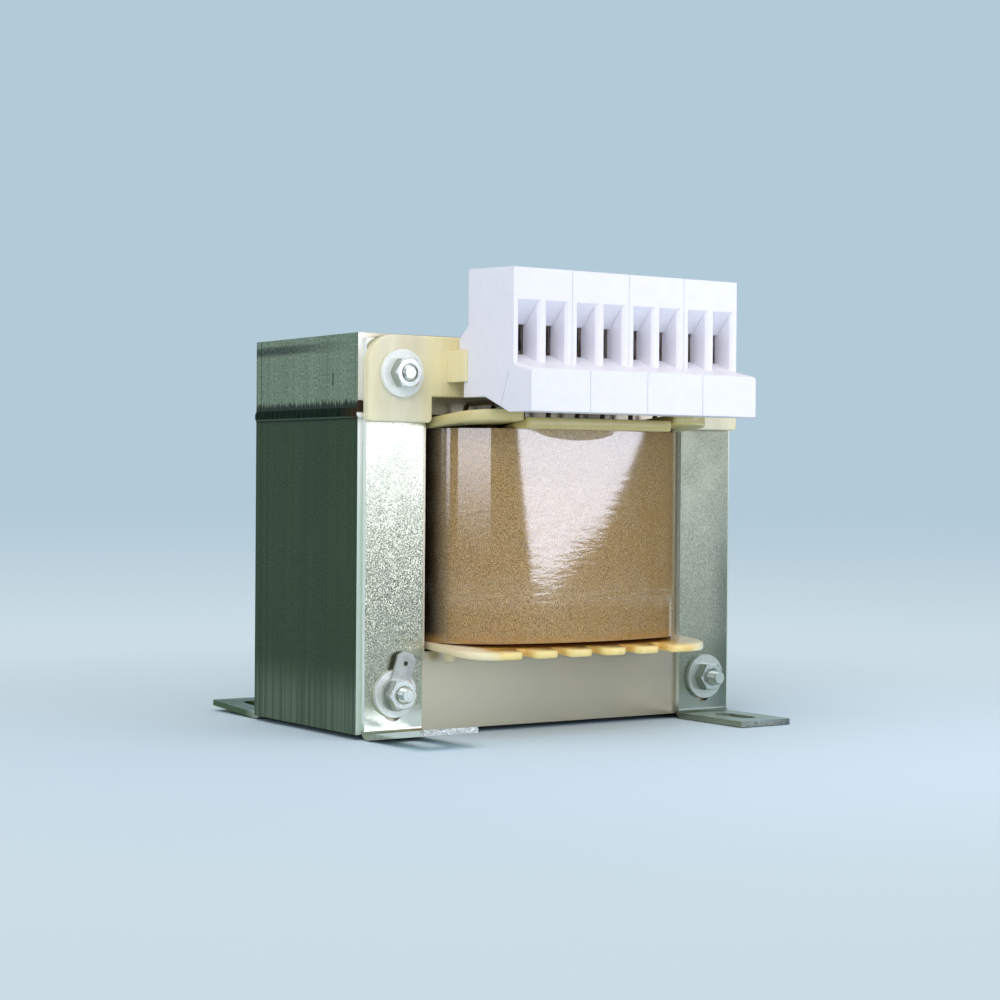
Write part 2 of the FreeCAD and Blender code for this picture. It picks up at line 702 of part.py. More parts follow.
housing_low = joint + size("arm_low") - 0.2
housing_front = rail_face + size("module_depth")
throat_mouth = housing_front - size("funnel_depth")
throat_low = housing_low + size("funnel_low") + size("throat_low")
cage_front = throat_mouth - size("cage_back")
screw_line = cage_front - size("cage_depth") / 2


def make_housing(label, number):
    """One moulded two-pole terminal: hook and heel on the rail, sloping entries, lip below."""
    body = new_body(label)
    rail_low = joint + size("rail_low")
    rail_high = rail_low + size("rail_height")
    rear, front = -rail_face, -housing_front
    lip = front - size("lip_proud")
    top = housing_low + size("module_height")
    lip_low = housing_low - size("lip_drop")
    lip_high = lip_low + size("lip_height")
    corners = [(rear, rail_high), (rear + size("nose_reach"), rail_high)]
    corners += [(rear + size("nose_reach"), rail_high + size("nose_height"))]
    corners += [(rear, rail_high + size("nose_height") + size("nose_slope"))]
    corners += [(rear, top), (front, top - size("top_slope")), (front, lip_high + size("lip_slope"))]
    corners += [(lip, lip_high), (lip, lip_low), (rear - size("belly_lip"), lip_low)]
    corners += [(rear - size("belly_reach"), housing_low), (rear + size("heel_reach"), housing_low)]
    corners += [(rear + size("heel_reach"), rail_low), (rear, rail_low)]
    profile = new_sketch(body, "YZ_Plane")
    outline(profile, corners)
    pad(body, profile, size("module_width") - size("module_gap"), "Symmetric")
    lip_sides = lambda edge: (abs(edge.Vertexes[0].X - edge.Vertexes[1].X) < 1e-6
                              and min(p.Y for p in edge.Vertexes) < lip.number + 0.01
                              and all(p.Z > lip_high.number - 0.01 for p in edge.Vertexes))
    round_edges(body, size("lip_round"), lip_sides)

    poles = (-size("pole_offset"), size("pole_offset"))
    half, throat_half = size("funnel_width") / 2, size("throat_width") / 2
    floor, bevel = housing_low + size("funnel_low"), size("funnel_bevel")
    for x in poles:
        mouth = new_sketch(body, "XZ_Plane", housing_front)
        rectangle(mouth, x - half, floor, x + half - bevel, floor + size("funnel_height"))
        inner = new_sketch(body, "XZ_Plane", throat_mouth)
        rectangle(inner, x - throat_half, throat_low, x + throat_half, throat_low + size("throat_height"))
        before = body.Shape.Volume
        funnel = body.newObject("PartDesign::SubtractiveLoft", body.Name + "_funnel")
        funnel.Profile = mouth
        funnel.Sections = [inner]
        funnel.Ruled = True
        doc.recompute()
        if not body.Shape.Volume < before:
            raise RuntimeError("%s: a wire entry cuts nothing" % label)
    bevels = new_sketch(body, "XY_Plane", floor)
    for x in poles:
        right, wall = x + half, x + half - bevel
        outline(bevels, [(right, front), (wall, front + bevel), (wall, front)])
    pocket(body, bevels, size("funnel_height"), back=True)
    throats = new_sketch(body, "XZ_Plane", throat_mouth)
    for x in poles:
        rectangle(throats, x - throat_half, throat_low, x + throat_half, throat_low + size("throat_height"))
    pocket(body, throats, size("throat_depth"))

    wells = new_sketch(body, "XY_Plane", top)
    for x in poles:
        circle(wells, x, -screw_line, size("well_across"))
    pocket(body, wells, top - throat_low - size("throat_height") / 2)
    slits = new_sketch(body, "XY_Plane", throat_low + size("throat_height") / 2)
    slit_front = cage_front - size("cage_depth") - size("lug_gap")
    slit_rear = slit_front - size("lug_thick") - size("lug_gap") * 2
    slit_half = size("lug_width") / 2 + size("lug_gap")
    for x in poles:
        rectangle(slits, x - slit_half, -slit_front, x + slit_half, -slit_rear)
    pocket(body, slits, throat_low + size("throat_height") / 2 - lip_low)
    bind(body, "Placement.Base.x", size("module_width") * (number - 1.5))


def make_contacts():
    """Behind each wire entry: a steel cage, the screw that lifts it and a lug for a lead."""
    cages = new_body("clamp_cages")
    gap, wall = size("cage_gap"), size("cage_wall")
    half = size("throat_width") / 2 - gap
    low, high = throat_low + gap, throat_low + size("throat_height") - gap
    shells = new_sketch(cages, "XZ_Plane", cage_front)
    bores = new_sketch(cages, "XZ_Plane", cage_front)
    threads = new_sketch(cages, "XY_Plane", high)
    for x in pole_places():
        rectangle(shells, x - half, low, x + half, high)
        rectangle(bores, x - half + wall, low + wall, x + half - wall, high - wall)
        circle(threads, x, -screw_line, size("screw_shank") + size("thread_gap") * 2)
    pad(cages, shells, size("cage_depth"), back=True)
    pocket(cages, bores, size("cage_depth"))
    pocket(cages, threads, wall * 1.5)

    screws = new_body("clamp_screws")
    heads = new_sketch(screws, "XY_Plane", high + gap)
    shanks = new_sketch(screws, "XY_Plane", high + gap)
    slots = new_sketch(screws, "XY_Plane", high + gap + size("screw_head_thick"))
    slot_half, head_half = size("screw_slot") / 2, size("screw_head") / 2
    for x in pole_places():
        circle(heads, x, -screw_line, size("screw_head"))
        circle(shanks, x, -screw_line, size("screw_shank"))
        reach = head_half + 1
        rectangle(slots, x - reach, -screw_line - slot_half, x + reach, slot_half - screw_line)
    pad(screws, heads, size("screw_head_thick"))
    pad(screws, shanks, wall * 3, back=True)
    pocket(screws, slots, size("screw_slot_depth"))

    lugs = new_body("solder_lugs")
    thick = size("lug_thick")
    seat = low + wall
    tail_front = cage_front - size("cage_depth") - size("lug_gap") * 2
    tail_rear = tail_front - thick
    tail_end = housing_low - size("lug_tail")
    for x in pole_places():
        side_view = new_sketch(lugs, "YZ_Plane", x)
        outline(side_view, [(-cage_front, seat), (-tail_front, seat), (-tail_front, tail_end),
                            (-tail_rear, tail_end), (-tail_rear, seat + thick), (-cage_front, seat + thick)])
        pad(lugs, side_view, size("lug_width"), "Symmetric")
    return tail_rear


def make_leads(lug_face):
    """A bare lead from the coil to each lug: up through the flange, one bend, then forward."""
    radius, bend, start = size("lead_across") / 2, size("lead_bend"), size("lead_reach")
    level = housing_low - size("lug_tail") / 2
    fused = []
    for number, x in enumerate(pole_places(), start=1):
        rise = doc.addObject("Part::Cylinder", "lead_rise")
        elbow = doc.addObject("Part::Torus", "lead_elbow")
        reach = doc.addObject("Part::Cylinder", "lead_run")
        for item in (rise, reach):
            bind(item, "Radius", radius)
        bind(rise, "Height", level - bend - winding_high)
        bind(rise, "Placement.Base.x", x)
        bind(rise, "Placement.Base.y", -start)
        bind(rise, "Placement.Base.z", winding_high)
        bind(elbow, "Radius1", bend)
        bind(elbow, "Radius2", radius)
        elbow.Angle3 = 90
        upright = Rotation(Vector(0, 1, 0), Vector(0, 0, 1), Vector(1, 0, 0), "XYZ")
        elbow.Placement = Placement(Vector(0, 0, 0), upright)
        bind(elbow, "Placement.Base.x", x)
        bind(elbow, "Placement.Base.y", -(start + bend))
        bind(elbow, "Placement.Base.z", level - bend)
        reach.Placement = Placement(Vector(0, 0, 0), Rotation(Vector(1, 0, 0), 90))
        bind(reach, "Height", lug_face - start - bend)
        bind(reach, "Placement.Base.x", x)
        bind(reach, "Placement.Base.y", -(start + bend))
        bind(reach, "Placement.Base.z", level)
        lead = doc.addObject("Part::MultiFuse", "lead_%d" % number)
        lead.Shapes = [rise, elbow, reach]
        fused.append(lead)
    group = doc.addObject("Part::Compound", "winding_leads")
    group.Links = fused
    group.Label = "winding_leads"


make_core()
make_weld("weld_left", -1, True)
make_weld("weld_right", 1, False)
make_strap("strap_front_left", -1, True, size("front_left_rise"))
make_strap("strap_front_right", 1, True, ZERO)
make_strap("strap_rear_left", -1, False, size("rear_left_rise"))
make_strap("strap_rear_right", 1, False, ZERO)
make_fasteners()
make_earth_tab()
make_former()
make_coil()
make_carrier()
for count in range(4):
    make_housing("terminal_housing_%d" % (count + 1), count)
make_leads(make_contacts())
doc.recompute()

for item in doc.Objects:
    if "Invalid" in item.State or "Error" in item.State:
        raise RuntimeError("%s did not rebuild" % item.Label)

nodes = [item for item in doc.Objects if item.TypeId == "PartDesign::Body" or item.Label == "winding_leads"]
os.makedirs("parts", exist_ok=True)
for node in nodes:
    if node.Shape.isNull() or not node.Shape.isValid():
        raise RuntimeError("%s has no sound solid" % node.Label)
for node in nodes:
    node.Shape.exportStep("parts/%s.step" % node.Label)
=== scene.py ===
import math

import bmesh
import bpy
from mathutils import Matrix, Vector, noise


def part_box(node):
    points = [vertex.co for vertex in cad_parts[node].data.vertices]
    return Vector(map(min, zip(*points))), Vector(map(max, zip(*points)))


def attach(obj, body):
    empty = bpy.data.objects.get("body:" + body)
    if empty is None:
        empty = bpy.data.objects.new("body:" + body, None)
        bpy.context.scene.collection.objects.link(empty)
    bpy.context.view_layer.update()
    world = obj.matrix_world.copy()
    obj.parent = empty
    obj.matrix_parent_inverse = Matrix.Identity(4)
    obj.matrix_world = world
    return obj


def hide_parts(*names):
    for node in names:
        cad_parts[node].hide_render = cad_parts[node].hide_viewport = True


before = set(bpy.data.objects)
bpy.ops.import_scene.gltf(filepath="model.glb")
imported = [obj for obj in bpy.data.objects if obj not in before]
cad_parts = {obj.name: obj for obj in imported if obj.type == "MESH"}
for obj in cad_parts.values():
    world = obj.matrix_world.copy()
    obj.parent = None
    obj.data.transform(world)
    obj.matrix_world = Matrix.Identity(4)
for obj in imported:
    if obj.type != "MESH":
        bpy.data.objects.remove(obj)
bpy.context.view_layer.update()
MM = 0.001
ROUND_STEPS = 72  # points round a nut, a bolt head or a bolt

# Places on the core and the wrap in millimetres, read from the frame. The finishes refer to them
core_half_width, core_half_depth, joint_height = (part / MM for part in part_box("e_core")[1])
core_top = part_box("i_core")[1][2] / MM
wrap_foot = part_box("film_wrap")[0][2] / MM
wrap_side, wrap_front, wrap_top = (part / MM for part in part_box("film_wrap")[1])


def linear(red, green, blue):
    """A colour as the eye names it, 0 to 255, as the linear values that shaders use."""
    values = []
    for part in (red, green, blue):
        part = part / 255
        values.append(part / 12.92 if part <= 0.04045 else ((part + 0.055) / 1.055) ** 2.4)
    return (*values, 1.0)


def feed(tree, socket, value):
    """Links an output into the socket, or sets the socket's own value."""
    if isinstance(value, bpy.types.NodeSocket):
        tree.links.new(value, socket)
    else:
        socket.default_value = value


def add(tree, kind, settings=None, **inputs):
    """A shader node. Inputs are given by name, or by number as _0, _1 and so on."""
    made = tree.nodes.new("ShaderNode" + kind)
    for name, value in (settings or {}).items():
        setattr(made, name, value)
    for name, value in inputs.items():
        key = int(name[1:]) if name[0] == "_" else name.replace("_", " ")
        feed(tree, made.inputs[key], value)
    return made


def maths(tree, operation, first, second=0.0):
    """A sum or another plain operation on one or two numbers."""
    return add(tree, "Math", {"operation": operation}, _0=first, _1=second).outputs[0]


def blend(tree, mask, first, second):
    """Two colours, mixed by a mask."""
    settings = {"data_type": "RGBA", "blend_type": "MIX", "clamp_factor": True}
    return add(tree, "Mix", settings, _0=mask, _6=first, _7=second).outputs[2]


def wash(tree, tone, mask, amount, colour):
    """The tone with a thin wash of another colour where the mask is."""
    return blend(tree, maths(tree, "MULTIPLY", mask, amount), tone, colour)


def ramp(tree, value, low, high, out_low=0.0, out_high=1.0):
    """The value between low and high, spread smoothly from out_low to out_high."""
    settings = {"interpolation_type": "SMOOTHSTEP", "clamp": True}
    made = add(tree, "MapRange", settings, Value=value,
               From_Min=low, From_Max=high, To_Min=out_low, To_Max=out_high)
    return made.outputs["Result"]


def new_group(name, numbers, outputs):
    """A node group with named number inputs and outputs."""
    group = bpy.data.node_groups.new(name, "ShaderNodeTree")
    for title, value in numbers:
        socket = group.interface.new_socket(name=title, in_out="INPUT", socket_type="NodeSocketFloat")
        socket.default_value = value
    for title, kind in outputs:
        group.interface.new_socket(name=title, in_out="OUTPUT", socket_type=kind)
    return group, group.nodes.new("NodeGroupInput").outputs, group.nodes.new("NodeGroupOutput").inputs


def place(tree, group, **inputs):
    """One use of a node group."""
    made = tree.nodes.new("ShaderNodeGroup")
    made.node_tree = group
    for name, value in inputs.items():
        feed(tree, made.inputs[name.replace("_", " ")], value)
    return made.outputs


def make_grain():
    """Fine grain: a noise in object space, stretched if wished, as a mask. Size is in millimetres."""
    numbers = [("Size", 1.0), ("Stretch X", 1.0), ("Stretch Y", 1.0), ("Stretch Z", 1.0), ("Detail", 3.0),
               ("Low", 0.35), ("High", 0.65)]
    group, given, result = new_group("grain", numbers, [("Mask", "NodeSocketFloat")])
    place_on = add(group, "TexCoord").outputs["Object"]
    stretch = add(group, "CombineXYZ", None, X=given["Stretch X"], Y=given["Stretch Y"], Z=given["Stretch Z"])
    point = add(group, "VectorMath", {"operation": "DIVIDE"}, _0=place_on, _1=stretch.outputs[0]).outputs[0]
    scale = maths(group, "DIVIDE", 1 / MM, given["Size"])
    speckle = add(group, "TexNoise", None, Vector=point, Scale=scale, Detail=given["Detail"], Roughness=0.6)
    group.links.new(ramp(group, speckle.outputs["Fac"], given["Low"], given["High"]), result["Mask"])
    return group


def make_sheets():
    """Edges of the core's sheets: a tone for each sheet and a groove between neighbours."""
    numbers = [("Pitch", 0.5), ("Groove", 0.22)]
    outputs = [("Tone", "NodeSocketFloat"), ("Groove", "NodeSocketFloat")]
    group, given, result = new_group("sheet_edges", numbers, outputs)
    place_on = add(group, "TexCoord").outputs["Object"]
    deep = add(group, "SeparateXYZ", None, Vector=place_on).outputs["Y"]
    number = maths(group, "DIVIDE", maths(group, "MULTIPLY", deep, 1 / MM), given["Pitch"])
    tone = add(group, "TexWhiteNoise", {"noise_dimensions": "1D"}, W=maths(group, "FLOOR", number))
    group.links.new(tone.outputs["Value"], result["Tone"])
    edge = maths(group, "ABSOLUTE", maths(group, "SUBTRACT", maths(group, "FRACT", number), 0.5))
    start = maths(group, "SUBTRACT", 0.5, given["Groove"])
    group.links.new(ramp(group, edge, start, 0.5), result["Groove"])
    return group


def make_spangle():
    """Zinc crystals: each has its own tone and a slightly tilted face."""
    numbers = [("Size", 0.4), ("Tilt", 0.1)]
    outputs = [("Tone", "NodeSocketFloat"), ("Normal", "NodeSocketVector")]
    group, given, result = new_group("spangle", numbers, outputs)
    place_on = add(group, "TexCoord").outputs["Object"]
    scale = maths(group, "DIVIDE", 1 / MM, given["Size"])
    crystal = add(group, "TexVoronoi", None, Vector=place_on, Scale=scale).outputs["Color"]
    group.links.new(add(group, "SeparateXYZ", None, Vector=crystal).outputs["X"], result["Tone"])
    lean = add(group, "VectorMath", {"operation": "SUBTRACT"}, _0=crystal, _1=(0.5, 0.5, 0.5)).outputs[0]
    lean = add(group, "VectorMath", {"operation": "SCALE"}, _0=lean, Scale=given["Tilt"]).outputs[0]
    flat = add(group, "NewGeometry").outputs["Normal"]
    tilted = add(group, "VectorMath", {"operation": "ADD"}, _0=flat, _1=lean).outputs[0]
    tilted = add(group, "VectorMath", {"operation": "NORMALIZE"}, _0=tilted).outputs[0]
    group.links.new(tilted, result["Normal"])
    return group


grain = make_grain()
sheet_edges = make_sheets()
spangle = make_spangle()


def new_material(name, roughness=0.5, metallic=0.0, **fixed):
    """A material with one shader, ready for its colour."""
    material = bpy.data.materials.new(name)
    material.use_nodes = True
    tree = material.node_tree
    shader = tree.nodes["Principled BSDF"]
    shader.inputs["Roughness"].default_value = roughness
    shader.inputs["Metallic"].default_value = metallic
    for key, value in fixed.items():
        shader.inputs[key.replace("_", " ")].default_value = value
    return material, tree, shader


def join(tree, output, shader, name):
    """Feeds an output into a named socket of the shader."""
    tree.links.new(output, shader.inputs[name])


def soft_edge(tree, radius, normal=None):
    """Light caught by a slightly rounded edge."""
    made = add(tree, "Bevel", {"samples": 4}, Radius=radius * MM)
    if normal is not None:
        tree.links.new(normal, made.inputs["Normal"])
    return made.outputs["Normal"]


def bump(tree, height, depth, normal=None):
    """Relief of the given depth in millimetres."""
    made = add(tree, "Bump", None, Height=height, Distance=depth * MM, Strength=1.0)
    if normal is not None:
        tree.links.new(normal, made.inputs["Normal"])
    return made.outputs["Normal"]


def axes(tree):
    """The object-space X, Y and Z of a point, in millimetres."""
    point = add(tree, "TexCoord").outputs["Object"]
    scaled = add(tree, "VectorMath", {"operation": "SCALE"}, _0=point, Scale=1 / MM).outputs[0]
    return add(tree, "SeparateXYZ", None, Vector=scaled).outputs


def facing(tree, axis, low=0.4, high=0.8):
    """1 on faces square to an axis, 0 on the others."""
    normal = add(tree, "NewGeometry").outputs["True Normal"]
    part = add(tree, "SeparateXYZ", None, Vector=normal).outputs[axis]
    return ramp(tree, maths(tree, "ABSOLUTE", part), low, high)


def near_line(tree, value, place_at, soft_from, soft_to):
    """1 on a line, 0 away from it."""
    away = maths(tree, "ABSOLUTE", maths(tree, "SUBTRACT", value, place_at))
    return ramp(tree, away, soft_from, soft_to, 1.0, 0.0)


def both(tree, *masks):
    """Where every mask is."""
    result = masks[0]
    for mask in masks[1:]:
        result = maths(tree, "MULTIPLY", result, mask)
    return result


def make_core_steel(name, sheet_dark, sheet_light, speckle):
    """Cut sheet edges at the sides, and the bright rolled face of the outermost sheet in front."""
    material, tree, shader = new_material(name, Specular_IOR_Level=0.25)
    x, y, z = axes(tree)
    lines = place(tree, sheet_edges, Pitch=0.5, Groove=0.20)
    bands = place(tree, grain, Size=1.1, Stretch_Z=400.0, Detail=3.0, Low=0.3, High=0.7)
    fine = place(tree, grain, Size=0.4, Stretch_Z=1.6, Detail=3.0, Low=0.4, High=0.64)
    cloud = place(tree, grain, Size=14.0, Stretch_Z=2.5, Detail=3.0, Low=0.3, High=0.7)
    tone = wash(tree, sheet_dark, lines["Tone"], 0.6, sheet_light)
    tone = wash(tree, tone, bands["Mask"], 0.4, sheet_light)
    tone = wash(tree, tone, fine["Mask"], speckle, linear(176, 192, 172))
    tone = wash(tree, tone, cloud["Mask"], 0.2, sheet_dark)
    tone = wash(tree, tone, lines["Groove"], 0.4, linear(20, 36, 22))
    # A dark band below the top edge, and lighter streaks that grow towards the foot
    patchy_band = ramp(tree, fine["Mask"], 0.0, 1.0, 1.0, 0.6)
    dark_top_band = both(tree, near_line(tree, z, core_top - 2.9, 0.5, 1.7), ramp(tree, y, -30.0, 14.0), patchy_band)
    tone = blend(tree, dark_top_band, tone, linear(44, 60, 46))
    streaks = both(tree, ramp(tree, z, 20.0, 6.0), ramp(tree, bands["Mask"], 0.0, 1.0, 0.35, 1.0))
    tone = blend(tree, streaks, tone, linear(98, 116, 92))
    # Two sheets that stand off a little, and a nick in the left side of the top bar
    long_gap = near_line(tree, y, 24.0, 0.1, 0.3)
    short_gap = both(tree, near_line(tree, y, -3.0, 0.12, 0.3), ramp(tree, z, 19.0, 15.0))
    tone = wash(tree, tone, maths(tree, "MAXIMUM", long_gap, short_gap), 0.8, linear(28, 50, 26))
    at_left = ramp(tree, x, 1.0, -1.0)
    nick = both(tree, near_line(tree, y, -14.3, 0.15, 0.45), near_line(tree, z, 90.0, 1.2, 2.2), at_left)
    tone = blend(tree, nick, tone, linear(22, 40, 30))
    # Soot that the welding left beside the joint, with a ragged upper edge
    fringe = place(tree, grain, Size=0.7, Stretch_Z=4.0, Detail=5.0, Low=0.2, High=0.8)
    upper = maths(tree, "ADD", joint_height + 1.7, maths(tree, "MULTIPLY", fringe["Mask"], 2.2))
    below = ramp(tree, maths(tree, "SUBTRACT", z, upper), -0.5, 0.7, 1.0, 0.0)
    soot = both(tree, ramp(tree, z, joint_height - 2.2, joint_height - 1.2), below)
    tone = wash(tree, tone, soot, 0.93, linear(10, 28, 10))
    # Rolled face of the outermost sheet
    brushed = place(tree, grain, Size=0.4, Stretch_Z=12.0, Detail=3.0, Low=0.3, High=0.7)
    patch = place(tree, grain, Size=22.0, Detail=3.0, Low=0.35, High=0.7)
    face = wash(tree, linear(176, 169, 148), brushed["Mask"], 0.4, linear(188, 181, 160))
    face = wash(tree, face, patch["Mask"], 0.5, linear(192, 181, 152))
    # Painted light: the rolled face grows paler towards the left
    face = blend(tree, ramp(tree, x, 20.0, -45.0, 0.0, 0.8), face, linear(216, 207, 180))
    # Beside the straps a narrow strip of it shows, matt, with painted light that grows paler upwards
    strip = ramp(tree, maths(tree, "ABSOLUTE", x), core_half_width - 2.0, core_half_width - 1.4)
    strip_painted_light = blend(tree, ramp(tree, z, 50.0, 95.0), linear(196, 212, 194), linear(246, 244, 234))
    face = blend(tree, strip, face, strip_painted_light)
    in_front = facing(tree, "Y")
    join(tree, blend(tree, in_front, tone, face), shader, "Base Color")
    bare = maths(tree, "MULTIPLY", in_front, ramp(tree, strip, 0.0, 1.0, 1.0, 0.2))
    join(tree, ramp(tree, bare, 0.0, 1.0, 0.12, 0.8), shader, "Metallic")
    join(tree, ramp(tree, in_front, 0.0, 1.0, 0.55, 0.27), shader, "Roughness")
    relief = maths(tree, "SUBTRACT", maths(tree, "MULTIPLY", fine["Mask"], 0.35), lines["Groove"])
    relief = maths(tree, "MULTIPLY", relief, maths(tree, "SUBTRACT", 1.0, in_front))
    join(tree, bump(tree, relief, 0.05, soft_edge(tree, 0.12)), shader, "Normal")
    return material


def make_weld_metal():
    """A dark bead with a thin bright lower edge, browner in front, and a dark drop with a painted highlight
    there.
    """
    material, tree, shader = new_material("weld_metal", roughness=0.5, Specular_IOR_Level=0.05)
    spot = axes(tree)
    ripple = place(tree, grain, Size=1.3, Stretch_Z=3.0, Detail=4.0, Low=0.3, High=0.7)
    tone = blend(tree, ripple["Mask"], linear(4, 16, 4), linear(14, 34, 14))
    line = near_line(tree, spot["Z"], joint_height - 1.0, 0.1, 0.32)
    tone = wash(tree, tone, line, 0.5, linear(92, 116, 94))
    ahead = maths(tree, "MULTIPLY", spot["Y"], -1.0)
    brown = ramp(tree, ahead, core_half_depth - 9, core_half_depth)
    tone = wash(tree, tone, brown, 0.6, linear(64, 42, 16))
    drop = ramp(tree, ahead, core_half_depth, core_half_depth + 0.3)
    # Painted highlight: a near-white line across the drop
    glint = both(tree, drop, near_line(tree, spot["Z"], joint_height - 0.6, 0.5, 0.9))
    tone = blend(tree, drop, tone, linear(58, 46, 34))
    tone = blend(tree, glint, tone, linear(250, 246, 236))
    join(tree, tone, shader, "Base Color")
    join(tree, bump(tree, ripple["Mask"], 0.12), shader, "Normal")
    return material


def make_zinc(name, dark, light, high, bend_painted_light, roughness, tilt):
    """Galvanised sheet: tight crystals that catch the light one by one, smoother above the foot's bend.
    dark and light are the crystals' tones; the tone near the top and the tone at the bend are painted light."""
    material, tree, shader = new_material(name, metallic=0.92)
    x, y, z = axes(tree)
    reach = maths(tree, "ABSOLUTE", y)
    upright = facing(tree, "Y")
    cloud = place(tree, grain, Size=9.0, Detail=4.0, Low=0.3, High=0.7)
    smooth = both(tree, ramp(tree, z, 9.0, 4.5), ramp(tree, z, 1.6, 2.4))
    calm = ramp(tree, z, 45.0, 85.0)
    lean = both(tree, ramp(tree, smooth, 0.0, 1.0, tilt, tilt * 0.4), ramp(tree, calm, 0.0, 1.0, 1.0, 0.45))
    crystals = place(tree, spangle, Size=0.19, Tilt=lean)
    tone = blend(tree, crystals["Tone"], dark, light)
    tone = wash(tree, tone, cloud["Mask"], 0.3, light)
    # Painted light: a tone towards the top, set strap by strap, and a paler tone just above the bend
    tone = wash(tree, tone, calm, 0.5, high)
    tone = wash(tree, tone, smooth, 0.8, bend_painted_light)
    # Painted sparkle on the feet's end faces, whose crystals run from dark to near white, and painted light
    # that makes their upper faces paler
    rim = both(tree, ramp(tree, reach, 53.0, 53.6), upright)
    tone = blend(tree, rim, tone, blend(tree, crystals["Tone"], linear(84, 92, 82), linear(250, 252, 244)))
    tone = wash(tree, tone, facing(tree, "Z"), 0.35, linear(210, 222, 200))
    # Painted shade darkens the right strap along its outer edge and low down
    outer = both(tree, ramp(tree, x, 51.0, 58.0), upright, ramp(tree, z, 75.0, 35.0, 0.0, 0.5))
    tone = blend(tree, outer, tone, linear(74, 88, 80))
    low = both(tree, ramp(tree, x, 30.0, 40.0), ramp(tree, z, 26.0, 16.0, 0.0, 0.45), upright)
    tone = blend(tree, low, tone, linear(80, 94, 84))
    # The straps' long cut edges are matt, with painted light that makes them pale, and painted shade makes
    # the feet at the back darker and greener
    side = both(tree, facing(tree, "X"), ramp(tree, z, 2.0, 5.0), ramp(tree, reach, 32.0, 29.0))
    tone = blend(tree, side, tone, linear(238, 244, 236))
    join(tree, ramp(tree, side, 0.0, 1.0, 0.92, 0.2), shader, "Metallic")
    rear_foot_painted_shade = both(tree, ramp(tree, y, 30.0, 36.0), ramp(tree, z, 6.0, 3.0))
    tone = blend(tree, rear_foot_painted_shade, tone, linear(78, 100, 62))
    join(tree, tone, shader, "Base Color")
    rough = ramp(tree, cloud["Mask"], 0.0, 1.0, roughness + 0.04, roughness - 0.03)
    join(tree, maths(tree, "ADD", rough, maths(tree, "MULTIPLY", rim, 0.3)), shader, "Roughness")
    join(tree, soft_edge(tree, 0.15, crystals["Normal"]), shader, "Normal")
    return material


def make_fastener_steel(name, metallic, shade):
    """Bright zinc on washers, nuts and bolts, with faint turning marks, and painted shade low down on the
    right.
    shade is how much painted shade darkens the faces that look sideways."""
    material, tree, shader = new_material(name, metallic=metallic)
    spot = axes(tree)
    wear = place(tree, grain, Size=1.6, Detail=5.0, Low=0.3, High=0.8)
    tone = blend(tree, wear["Mask"], linear(236, 240, 232), linear(252, 252, 246))
    # Painted shade low down on the right, and on the faces that look sideways
    dull = both(tree, ramp(tree, spot["X"], 0.0, 40.0, 0.0, 0.5), ramp(tree, spot["Z"], 60.0, 30.0))
    tone = blend(tree, dull, tone, linear(140, 160, 150))
    tone = wash(tree, tone, facing(tree, "X", 0.45, 0.7), shade, linear(96, 110, 84))
    join(tree, tone, shader, "Base Color")
    join(tree, ramp(tree, spot["Z"], 30.0, 60.0, 0.45 + 0.4 * metallic, metallic), shader, "Metallic")
    join(tree, ramp(tree, wear["Mask"], 0.0, 1.0, 0.22, 0.27), shader, "Roughness")
    join(tree, bump(tree, wear["Mask"], 0.002, soft_edge(tree, 0.1)), shader, "Normal")
    return material


def make_tab_steel():
    """Tinned sheet, smooth and soft grey."""
    material, tree, shader = new_material("tinned_sheet", roughness=0.36, metallic=0.75)
    haze = place(tree, grain, Size=3.0, Detail=4.0, Low=0.3, High=0.7)
    join(tree, blend(tree, haze["Mask"], linear(172, 174, 164), linear(198, 200, 190)), shader, "Base Color")
    join(tree, bump(tree, haze["Mask"], 0.01, soft_edge(tree, 0.3)), shader, "Normal")
    return material


def make_former_nylon():
    """Amber nylon: cream at the rounded tips, orange where it meets the coil, with painted light that pales
    the outer lobes and painted shade that makes it greener above.
    """
    fixed = {"Subsurface_Weight": 0.45, "Subsurface_Scale": 3.0 * MM, "Subsurface_Radius": (1.0, 0.65, 0.3),
             "Coat_Weight": 0.6, "Coat_Roughness": 0.08}
    material, tree, shader = new_material("former_nylon", roughness=0.3, **fixed)
    x, y, z = axes(tree)
    tip = ramp(tree, maths(tree, "ABSOLUTE", y), core_half_depth + 14.5, core_half_depth + 20.5)
    stain = place(tree, grain, Size=4.0, Detail=5.0, Low=0.4, High=0.75)
    outer = ramp(tree, maths(tree, "ABSOLUTE", x), 29.0, 34.0)
    upper = ramp(tree, z, 50.0, 70.0)
    tone = blend(tree, tip, linear(226, 176, 84), linear(250, 222, 146))
    tone = wash(tree, tone, stain["Mask"], 0.4, linear(226, 168, 70))
    # Painted light pales the outer lobes; painted shade under the terminals makes the upper part greener
    tone = wash(tree, tone, outer, 0.75, linear(250, 240, 206))
    tone = wash(tree, tone, upper, 0.75, linear(194, 184, 120))
    join(tree, tone, shader, "Base Color")
    join(tree, soft_edge(tree, 0.9), shader, "Normal")
    return material


